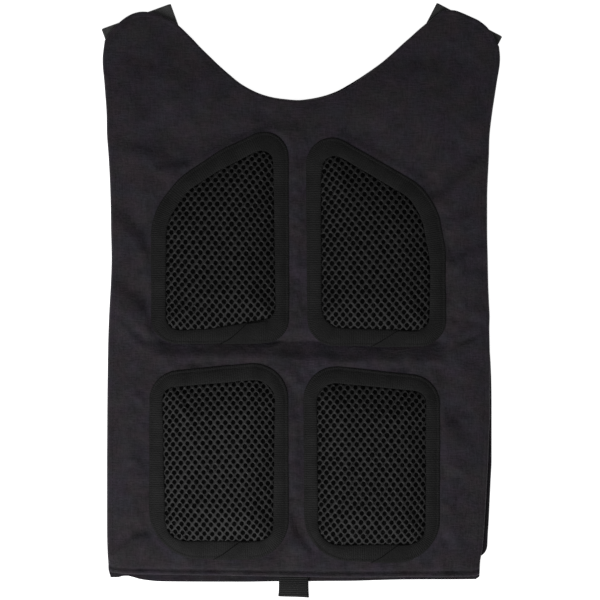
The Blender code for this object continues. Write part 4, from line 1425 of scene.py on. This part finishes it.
def hole_centres(pad, turn):
    """Middles of a pad's holes, in rows that bow and lean a little and crowd together towards the tape."""
    centres = []
    for row in range(-HOLE_ROWS, HOLE_ROWS + 1):
        for column in range(-HOLE_COLUMNS, HOLE_COLUMNS + 1):
            u, v = (column + 0.5 * (row % 2)) * HOLE_PITCH, row * ROW_PITCH
            u, v = u * (1 - SQUEEZE * (u / HALF_WIDE) ** 2), v * (1 - SQUEEZE * (v / SQUEEZE_TALL) ** 2)
            bow = BOW * u * u / HALF_WIDE * (v / HALF_TALL)
            lean = LEAN * v * v / HALF_TALL
            centres.append((u + lean * pad["side"], v - bow))
    centres = np.array(centres)
    return np.stack((
        pad["x"] + centres[:, 0] * math.cos(turn) - centres[:, 1] * math.sin(turn),
        pad["y"] + centres[:, 0] * math.sin(turn) + centres[:, 1] * math.cos(turn),
    ), axis=1)


def strand_lift(angle):
    """How far a strand's middle line stands up: most at the knots, and more on the strands that run over."""
    quarter = (angle / (math.pi / 2)) % 1.0
    if min(quarter, 1.0 - quarter) < 0.01:
        return KNOT_OVER
    return STRAND_OVER if int(angle / (math.pi / 2)) % 2 else 0.0


def add_net(pad):
    """The open mesh of one pad, hole by hole."""
    rng = np.random.RandomState(pad["seed"])
    tree = BVHTree.FromObject(cushions[pad["name"]], bpy.context.evaluated_depsgraph_get())
    turn = math.radians(pad["turn"])
    angles = [math.tau * side / CELL_SIDES for side in range(CELL_SIDES)]
    diamond = [lozenge(angle) for angle in angles]
    lifts = [strand_lift(angle) for angle in angles]
    centres = hole_centres(pad, turn)
    kept = centres[depth_in(pad, "opening", centres[:, 0], centres[:, 1]) > -NET_MARGIN]
    wave_seed = pad["seed"] + NET_WAVES["seed"]
    waves = NET_WAVES["high"] * soft_noise(kept[:, 0], kept[:, 1], NET_WAVES["size"], wave_seed)
    vertices, faces, shared = [], [], {}

    def height(x, y, down):
        hit = tree.ray_cast(Vector((x, y, 1.0)), Vector((0.0, 0.0, -1.0)))
        lowest = PAD_BASE + NET_LOWEST
        top = hit[0].z if hit[0] and hit[0].z > lowest else lowest
        return top + NET_LIFT - down

    for middle, wave in zip(kept, waves):
        rings = []
        size_change = 1.0 + rng.uniform(-HOLE_VARIES, HOLE_VARIES)
        shift = rng.uniform(-HOLE_STRAYS, HOLE_STRAYS, 2)
        for number, ring in enumerate(STRAND_RINGS):
            indices = []
            for angle, reach, lift in zip(angles, diamond, lifts):
                hole = (HOLE_RADIUS + HOLE_TALLER * abs(math.sin(angle))) * size_change
                hole = min(hole, WIDEST_HOLE * reach)
                radius = reach + (hole - reach) * ring["share"]
                u = radius * math.cos(angle) + shift[0] * ring["share"]
                v = radius * math.sin(angle) + shift[1] * ring["share"]
                x = middle[0] + u * math.cos(turn) - v * math.sin(turn)
                y = middle[1] + u * math.sin(turn) + v * math.cos(turn)
                key = (round(x * SPOTS_PER_METRE), round(y * SPOTS_PER_METRE)) if number == 0 else None
                if key is not None and key in shared:
                    indices.append(shared[key])
                    continue
                if key is not None:
                    shared[key] = len(vertices)
                indices.append(len(vertices))
                down = ring["down"] - lift * (1 - LIFT_FADE * ring["share"]) - wave
                vertices.append((x, y, height(x, y, down)))
            rings.append(indices)
        for inner, outer in zip(rings[1:], rings[:-1]):
            for side in range(CELL_SIDES):
                nxt = (side + 1) % CELL_SIDES
                faces.append((outer[side], outer[nxt], inner[nxt], inner[side]))
    piece = new_piece("mesh_net_" + pad["name"], vertices, faces, MESH_FINISHES[pad["name"]])
    face_outwards(piece, join=KNOT_JOIN)
    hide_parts("mesh_pad_" + pad["name"])
    print(piece.name, len(kept), "holes,", len(piece.data.polygons), "faces")


for pad in PADS:
    add_net(pad)

# %% [markdown]
# ## Binding tape
#
# The tape is ribbed: fine ridges run across it. It is sewn down flat along its outer edge, swells over the
# cushion's border, and its inner edge presses into the mesh. The section is swept round the pad's outline,
# and every second step along it is a ridge, so the ribs fan out round the corners as they do on real tape.
# Hand-laid tape is wider in some places than in others, so at each step the section is stretched to reach
# the opening.

# %% Width of the tape
def tape_widths(pad, points, inward):
    """Distance from each point of the tape's outer edge to the opening, evened out along the edge."""
    near, _ = border(pad, "opening", 0.0, 0.002)
    side = np.roll(near, -1, axis=0) - near
    arms = near[None, :, :] - points[:, None, :]
    way = inward[:, None, :]
    cross = way[..., 0] * side[None, :, 1] - way[..., 1] * side[None, :, 0]
    cross = np.where(np.abs(cross) < 1e-12, 1e-12, cross)
    reach = (arms[..., 0] * side[None, :, 1] - arms[..., 1] * side[None, :, 0]) / cross
    share = (arms[..., 0] * way[..., 1] - arms[..., 1] * way[..., 0]) / cross
    widths = np.where((share >= 0) & (share <= 1) & (reach > 0), reach, 1.0).min(axis=1)
    widths = np.where(widths > 0.03, np.median(widths), widths)
    spacing = np.linalg.norm(np.diff(points, axis=0), axis=1).mean()
    window = 2 * round(0.004 / spacing) + 1
    wrapped = np.concatenate((widths[-window:], widths, widths[:window]))
    return np.convolve(wrapped, np.ones(window) / window, "same")[window:-window]


for pad in PADS:
    pad_widths = tape_widths(pad, *border(pad, "tape", 0.0, 0.003))
    narrowest, widest = round(pad_widths.min() * 1000, 1), round(pad_widths.max() * 1000, 1)
    print(pad["name"], "tape", narrowest, "to", widest, "mm wide")

# %% Tape sections
RIB_HEIGHT = 0.00008
PLAIN_TAPE = 0.0120
FLAT_PART = 0.0030
TAPE_MIDDLE = 0.006
TAPE_WOBBLE = 0.00025
TAPE_SWELLS = 0.10
TAPE_SINKS = 0.0002
EDGE_SINKS = 0.0001
TAPE_SECTION = (
    {"in": 0.0000, "up": 0.0000, "rib": 0.0},
    {"in": 0.0000, "up": 0.0004, "rib": 0.0},
    {"in": 0.0005, "up": 0.0007, "rib": 0.5},
    {"in": 0.0015, "up": 0.0010, "rib": 0.9},
    {"in": 0.0021, "up": 0.0009, "rib": 0.3},
    {"in": 0.0026, "up": 0.0010, "rib": 0.3},
    {"in": 0.0034, "up": 0.0014, "rib": 0.9},
    {"in": 0.0050, "up": 0.0019, "rib": 1.0},
    {"in": 0.0070, "up": 0.0023, "rib": 1.0},
    {"in": 0.0090, "up": 0.0025, "rib": 1.0},
    {"in": 0.0108, "up": 0.0025, "rib": 0.9},
    {"in": 0.0117, "up": 0.0023, "rib": 0.5},
    {"in": 0.0120, "up": 0.0019, "rib": 0.0},
    {"in": 0.0114, "up": 0.0015, "rib": 0.0},
    {"in": 0.0085, "up": 0.0013, "rib": 0.0},
    {"in": 0.0060, "up": 0.0000, "rib": 0.0},
)
FLAP_LIFT = 0.0006
FLAP_FADE = 2.2
FLAP_SECTION = (
    {"in": -0.0008, "up": 0.0000, "rib": 0.0},
    {"in": -0.0008, "up": 0.0004, "rib": 0.0},
    {"in": -0.0003, "up": 0.0007, "rib": 0.6},
    {"in": 0.0012, "up": 0.0011, "rib": 1.0},
    {"in": 0.0032, "up": 0.0015, "rib": 1.0},
    {"in": 0.0050, "up": 0.0020, "rib": 1.0},
    {"in": 0.0070, "up": 0.0023, "rib": 1.0},
    {"in": 0.0090, "up": 0.0025, "rib": 1.0},
    {"in": 0.0107, "up": 0.0025, "rib": 0.9},
    {"in": 0.0115, "up": 0.0023, "rib": 0.5},
    {"in": 0.0112, "up": 0.0019, "rib": 0.0},
    {"in": 0.0090, "up": 0.0014, "rib": 0.0},
    {"in": 0.0030, "up": 0.0003, "rib": 0.0},
)


def sweep_tape(name, pad, section, first, count, slanted=0.0, lift=0.0):
    """Band of tape over part of a pad's border, or all of it where count is 0. An open band's lift fades."""
    edge, inward = border(pad, "tape", 0.0, RIB / 2)
    widths = tape_widths(pad, edge, inward)
    closed = count == 0
    total = len(edge)
    stations = range((total // 2) * 2) if closed else range(first, first + count)
    run = np.linalg.norm(edge - np.roll(edge, 1, axis=0), axis=1).mean()
    vertices, columns = [], len(section)
    for number, station in enumerate(stations):
        here_x, here_y = edge[station % total][:1], edge[station % total][1:]
        wobble = float(soft_noise(here_x, here_y, 0.016, pad["seed"] + 40)[0])
        swelling = float(soft_noise(here_x, here_y, 0.011, pad["seed"] + 50)[0])
        for point in section:
            at = station + slanted * point["in"] / run
            low = int(math.floor(at))
            share = at - low
            here, there = low % total, (low + 1) % total
            base = edge[here] * (1 - share) + edge[there] * share
            way = inward[here] * (1 - share) + inward[there] * share
            way = way / np.linalg.norm(way)
            stretch = (widths[here] - FLAT_PART) / (PLAIN_TAPE - FLAT_PART)
            depth = min(point["in"], FLAT_PART) + max(point["in"] - FLAT_PART, 0.0) * stretch
            depth -= TAPE_WOBBLE * wobble * (1 if point["in"] < TAPE_MIDDLE else -1)
            spot = base + way * depth
            rib = RIB_HEIGHT * point["rib"] * (1 if number % 2 else -1)
            fade = lift * (1.0 - FLAP_FADE * number / max(count, 1))
            height = PAD_BASE - TAPE_SINKS + point["up"] * (1.0 + TAPE_SWELLS * swelling) + rib + fade
            if point["up"] == 0.0:
                height = min(height, ground(body_tree, *spot, PAD_BASE) - EDGE_SINKS)
            vertices.append((spot[0], spot[1], height))
    rows = len(vertices) // columns
    faces = []
    for row in range(rows if closed else rows - 1):
        above = (row + 1) % rows
        for column in range(columns):
            nxt = (column + 1) % columns
            here, there = row * columns, above * columns
            faces.append((here + column, here + nxt, there + nxt, there + column))
    if not closed:
        faces.append(tuple(reversed(range(columns))))
        faces.append(tuple((rows - 1) * columns + i for i in range(columns)))
    band = new_piece(name, vertices, faces, TAPE_FINISHES[pad["name"]])
    return unroll(face_outwards(band), section, rows)


def unroll(band, section, rows):
    """Gives each corner of a band's faces its place on the unrolled tape: (along, across)."""
    corners = band.data.uv_layers.new(name="unrolled")
    columns = len(section)
    for face in band.data.polygons:
        around = [band.data.loops[corner].vertex_index // columns for corner in face.loop_indices]
        over_the_join = max(around) - min(around) > 1
        for corner, row in zip(face.loop_indices, around):
            row += rows if over_the_join and row == 0 else 0
            column = band.data.loops[corner].vertex_index % columns
            corners.data[corner].uv = (row * RIB / 2, section[column]["in"])
    return band


# %% Lay the tape
TAPE_ENDS = {
    "upper_left": (222, 343), "upper_right": (372, 345),
    "lower_left": (216, 553), "lower_right": (372, 556),
}
TAPE_OVERLAP = 0.036
FLAP_SLANT = 1.9
TAPE_STITCH_IN = 0.0020
for pad in PADS:
    band = sweep_tape("tape_" + pad["name"], pad, TAPE_SECTION, 0, 0)
    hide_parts("binding_" + pad["name"])
    edge, _ = border(pad, "tape", 0.0, RIB / 2)
    end_place = np.array(from_pixel(*TAPE_ENDS[pad["name"]]))
    nearest = int(np.argmin(np.linalg.norm(edge - end_place, axis=1)))
    flap_steps = round(TAPE_OVERLAP / (RIB / 2))
    sweep_tape("tape_end_" + pad["name"], pad, FLAP_SECTION, nearest, flap_steps, FLAP_SLANT, FLAP_LIFT)
    print(band.name, len(band.data.polygons), "faces; its end laps over", TAPE_OVERLAP * 1000, "mm")
    line, _ = border(pad, "tape", TAPE_STITCH_IN, 0.002)
    line = np.concatenate((line, line[:1]))
    tape_tree = BVHTree.FromObject(band, bpy.context.evaluated_depsgraph_get())
    add_stitches(
        "tape_stitches_" + pad["name"], line,
        lambda x, y: ground(tape_tree, x, y, PAD_BASE + 0.0006),
    )

# %% [markdown]
# ## Straps, wings and pull tab
#
# The shoulder straps are broad hook-and-loop straps folded in half behind the shoulders: only two corners
# of each show. The side wings lie folded flat under the vest. The right one shows as a narrow strip with a
# rounded corner beside the low right edge. The left one doesn't show, and is made like it. The pull tab is
# a loop of webbing sewn into the pocket's mouth; its ribs run across it.

# %% Shoulder straps
STRAP_CLOTH = 0.0013
STRAP_FOLD = 0.00085
STRAP_BEND = {"high": 0.0004, "size": 0.011, "reach": 0.02}
FLOOR_GAP = 0.0001


def fold_track(length, radius, middle, run_steps, fold_steps):
    """Points (distance from the fold's tip, height) along a strip folded in half."""
    straight = length - radius
    track = [(length - straight * step / run_steps, middle + radius) for step in range(run_steps)]
    for step in range(fold_steps + 1):
        angle = math.pi * step / fold_steps
        track.append((radius * (1.0 - math.sin(angle)), middle + radius * math.cos(angle)))
    track += [(radius + straight * step / run_steps, middle - radius) for step in range(1, run_steps + 1)]
    return track


def folded_strip(name, track, width, columns, thick, place, ribs, material):
    """Closed strip along a folded track; place turns (side, down, height) into a point."""
    top, bottom = [], []
    for row, (down, height) in enumerate(track):
        back, ahead = track[max(row - 1, 0)], track[min(row + 1, len(track) - 1)]
        way = np.array((ahead[0] - back[0], ahead[1] - back[1]))
        way /= np.linalg.norm(way)
        normal = np.array((way[1], -way[0]))
        for column in range(columns):
            share = column / (columns - 1)
            side = (share - 0.5) * width
            edge = min(share, 1.0 - share) * width
            half = thick / 2 * math.sqrt(max(1.0 - max(1.0 - edge / (thick * 0.5), 0.0) ** 2, 0.16))
            out = half + ribs * (1 if row % 2 else -1) * min(1.0, edge / 0.002)
            top.append(place(side, down - normal[0] * out, height - normal[1] * out))
            bottom.append(place(side, down + normal[0] * half, height + normal[1] * half))
    sheet = thick_sheet(name, columns, len(track), np.array(top), np.array(bottom), material)
    return face_outwards(sheet)


for strap in STRAPS:
    turn = math.radians(strap["turn"])

    def on_strap(side, down, height, strap=strap, turn=turn):
        down += STRAP_CLOTH / 2
        bend = STRAP_BEND["high"] * math.sin(side / STRAP_BEND["size"])
        bend *= math.exp(-down / STRAP_BEND["reach"])
        return (
            strap["x"] + side * math.cos(turn) + down * math.sin(turn),
            strap["y"] + side * math.sin(turn) - down * math.cos(turn),
            max(height + bend, FLOOR_GAP),
        )

    strip_track = fold_track(STRAP_LENGTH - STRAP_CLOTH / 2, STRAP_FOLD, UNDER_LAYER / 2, 40, 10)
    strip = folded_strip(
        strap["name"] + "_cloth", strip_track, STRAP_WIDTH, 40, STRAP_CLOTH - 0.0001, on_strap, 0.0,
        LOOP_FINISHES["left" if strap["x"] < 0 else "right"],
    )
    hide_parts(strap["name"])
    print(strip.name, len(strip.data.polygons), "faces")

# %% Side wings
WING_CORNER = 0.010
WING_SPACING = 0.004
WING_NOMINAL = 0.095
WING_TURN = 0.0016
WING_GROOVE = {"in": 0.0055, "deep": 0.0004, "wide": 0.0010}
WING_THINNER = {"by": 0.0002, "ease": 0.012}
WING_REACH = {
    "left": {"y": (-0.2208, -0.0220), "x": (0.1655, 0.1655)},
    "right": {
        "y": (-0.2208, -0.2150, -0.2037, -0.1890, -0.1717, -0.1545, -0.1372, -0.0984, -0.0490, -0.0220),
        "x": (0.1598, 0.1598, 0.1602, 0.1611, 0.1619, 0.1627, 0.1635, 0.1635, 0.1624, 0.1600),
    },
}


def add_wing(name, side):
    """One folded wing, slightly padded, with rounded corners, a turned edge and a stitch groove."""
    reach = WING_REACH["right" if side > 0 else "left"]
    half = UNDER_LAYER / 2
    length = WING_TOP - WING_BOTTOM
    rows, lines = line_shares(length, WING_SPACING), line_shares(WING_NOMINAL, WING_SPACING)
    top, bottom = [], []
    for up in rows:
        for share in lines:
            y = WING_BOTTOM + up * length
            width = float(along(reach, "y", "x", y)) - WING_INNER
            inwards = width * (1.0 - share)
            short = max(WING_CORNER - min(inwards, width - inwards), 0.0)
            inset = WING_CORNER - math.sqrt(max(WING_CORNER**2 - short**2, 0.0))
            y = WING_BOTTOM + length / 2 + (up - 0.5) * (length - 2 * inset)
            x = float(along(reach, "y", "x", y)) - inwards
            near = min(min(up, 1.0 - up) * length, inwards, width - inwards)
            girth = half * math.sqrt(max(1.0 - max(1.0 - near / WING_TURN, 0.0) ** 2, 0.03))
            from_groove = near - WING_GROOVE["in"]
            girth -= WING_GROOVE["deep"] * math.exp(-((from_groove / WING_GROOVE["wide"]) ** 2))
            girth -= WING_THINNER["by"] * (1 - float(smooth(from_groove / WING_THINNER["ease"])))
            top.append((side * x, y, half + girth))
            bottom.append((side * x, y, max(half - girth, FLOOR_GAP)))
    top, bottom = np.array(top), np.array(bottom)
    return face_outwards(thick_sheet(name, len(lines), len(rows), top, bottom, WING_FINISH_PAINTED_DARKER))


for wing_name, wing_side in (("side_wing_left", -1), ("side_wing_right", 1)):
    wing = add_wing(wing_name + "_cloth", wing_side)
    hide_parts(wing_name)
    print(wing.name, len(wing.data.polygons), "faces")

# %% Pull tab
TAB_WIDTH = 0.0254
TAB_X = -0.0072
TAB_END = -0.2559
TAB_ROOT = -0.2180
TAB_SLANT = 0.055
WEBBING = 0.0015
TAB_FOLD = 0.00095
TAB_LEAVES = {"y": -0.2400, "ease": 0.014}
TAB_DROOP = {"deep": 0.0010, "y": -0.2440, "ease": 0.0119}
TAB_FLARE = {"more": 0.055, "reach": 0.0040}
TAB_WAVE = {"high": 0.0003, "size": 0.0052, "start": 0.6, "sideways": 0.7}
TAB_RIB_HEIGHT = 0.00020
tab_base = CLOTH + 0.0005 + WEBBING + 0.0002
tab_track = fold_track(TAB_ROOT - TAB_END - WEBBING / 2, TAB_FOLD, tab_base, 44, 8)


def on_tab(side, down, height):
    """Place of a point of the tab, which droops past the hem and is widest and slanted at its fold."""
    y = TAB_END + WEBBING / 2 + down
    out = float(smooth((TAB_LEAVES["y"] - y) / TAB_LEAVES["ease"]))
    droop = TAB_DROOP["deep"] * float(smooth((TAB_DROOP["y"] - y) / TAB_DROOP["ease"]))
    flare = 1.0 + TAB_FLARE["more"] * math.exp(-down / TAB_FLARE["reach"])
    wave = TAB_WAVE["high"] * math.sin(side / TAB_WAVE["size"] + TAB_WAVE["start"]) * out
    shift = (wave * TAB_WAVE["sideways"] - TAB_SLANT * (side - TAB_WIDTH / 2)) * out
    return TAB_X + side * flare, y + shift, height - droop + wave


tab = folded_strip(
    "pull_tab_webbing", tab_track, TAB_WIDTH, 26, WEBBING, on_tab, TAB_RIB_HEIGHT, WEBBING_FINISH
)
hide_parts("pull_tab")
print(tab.name, len(tab.data.polygons), "faces")
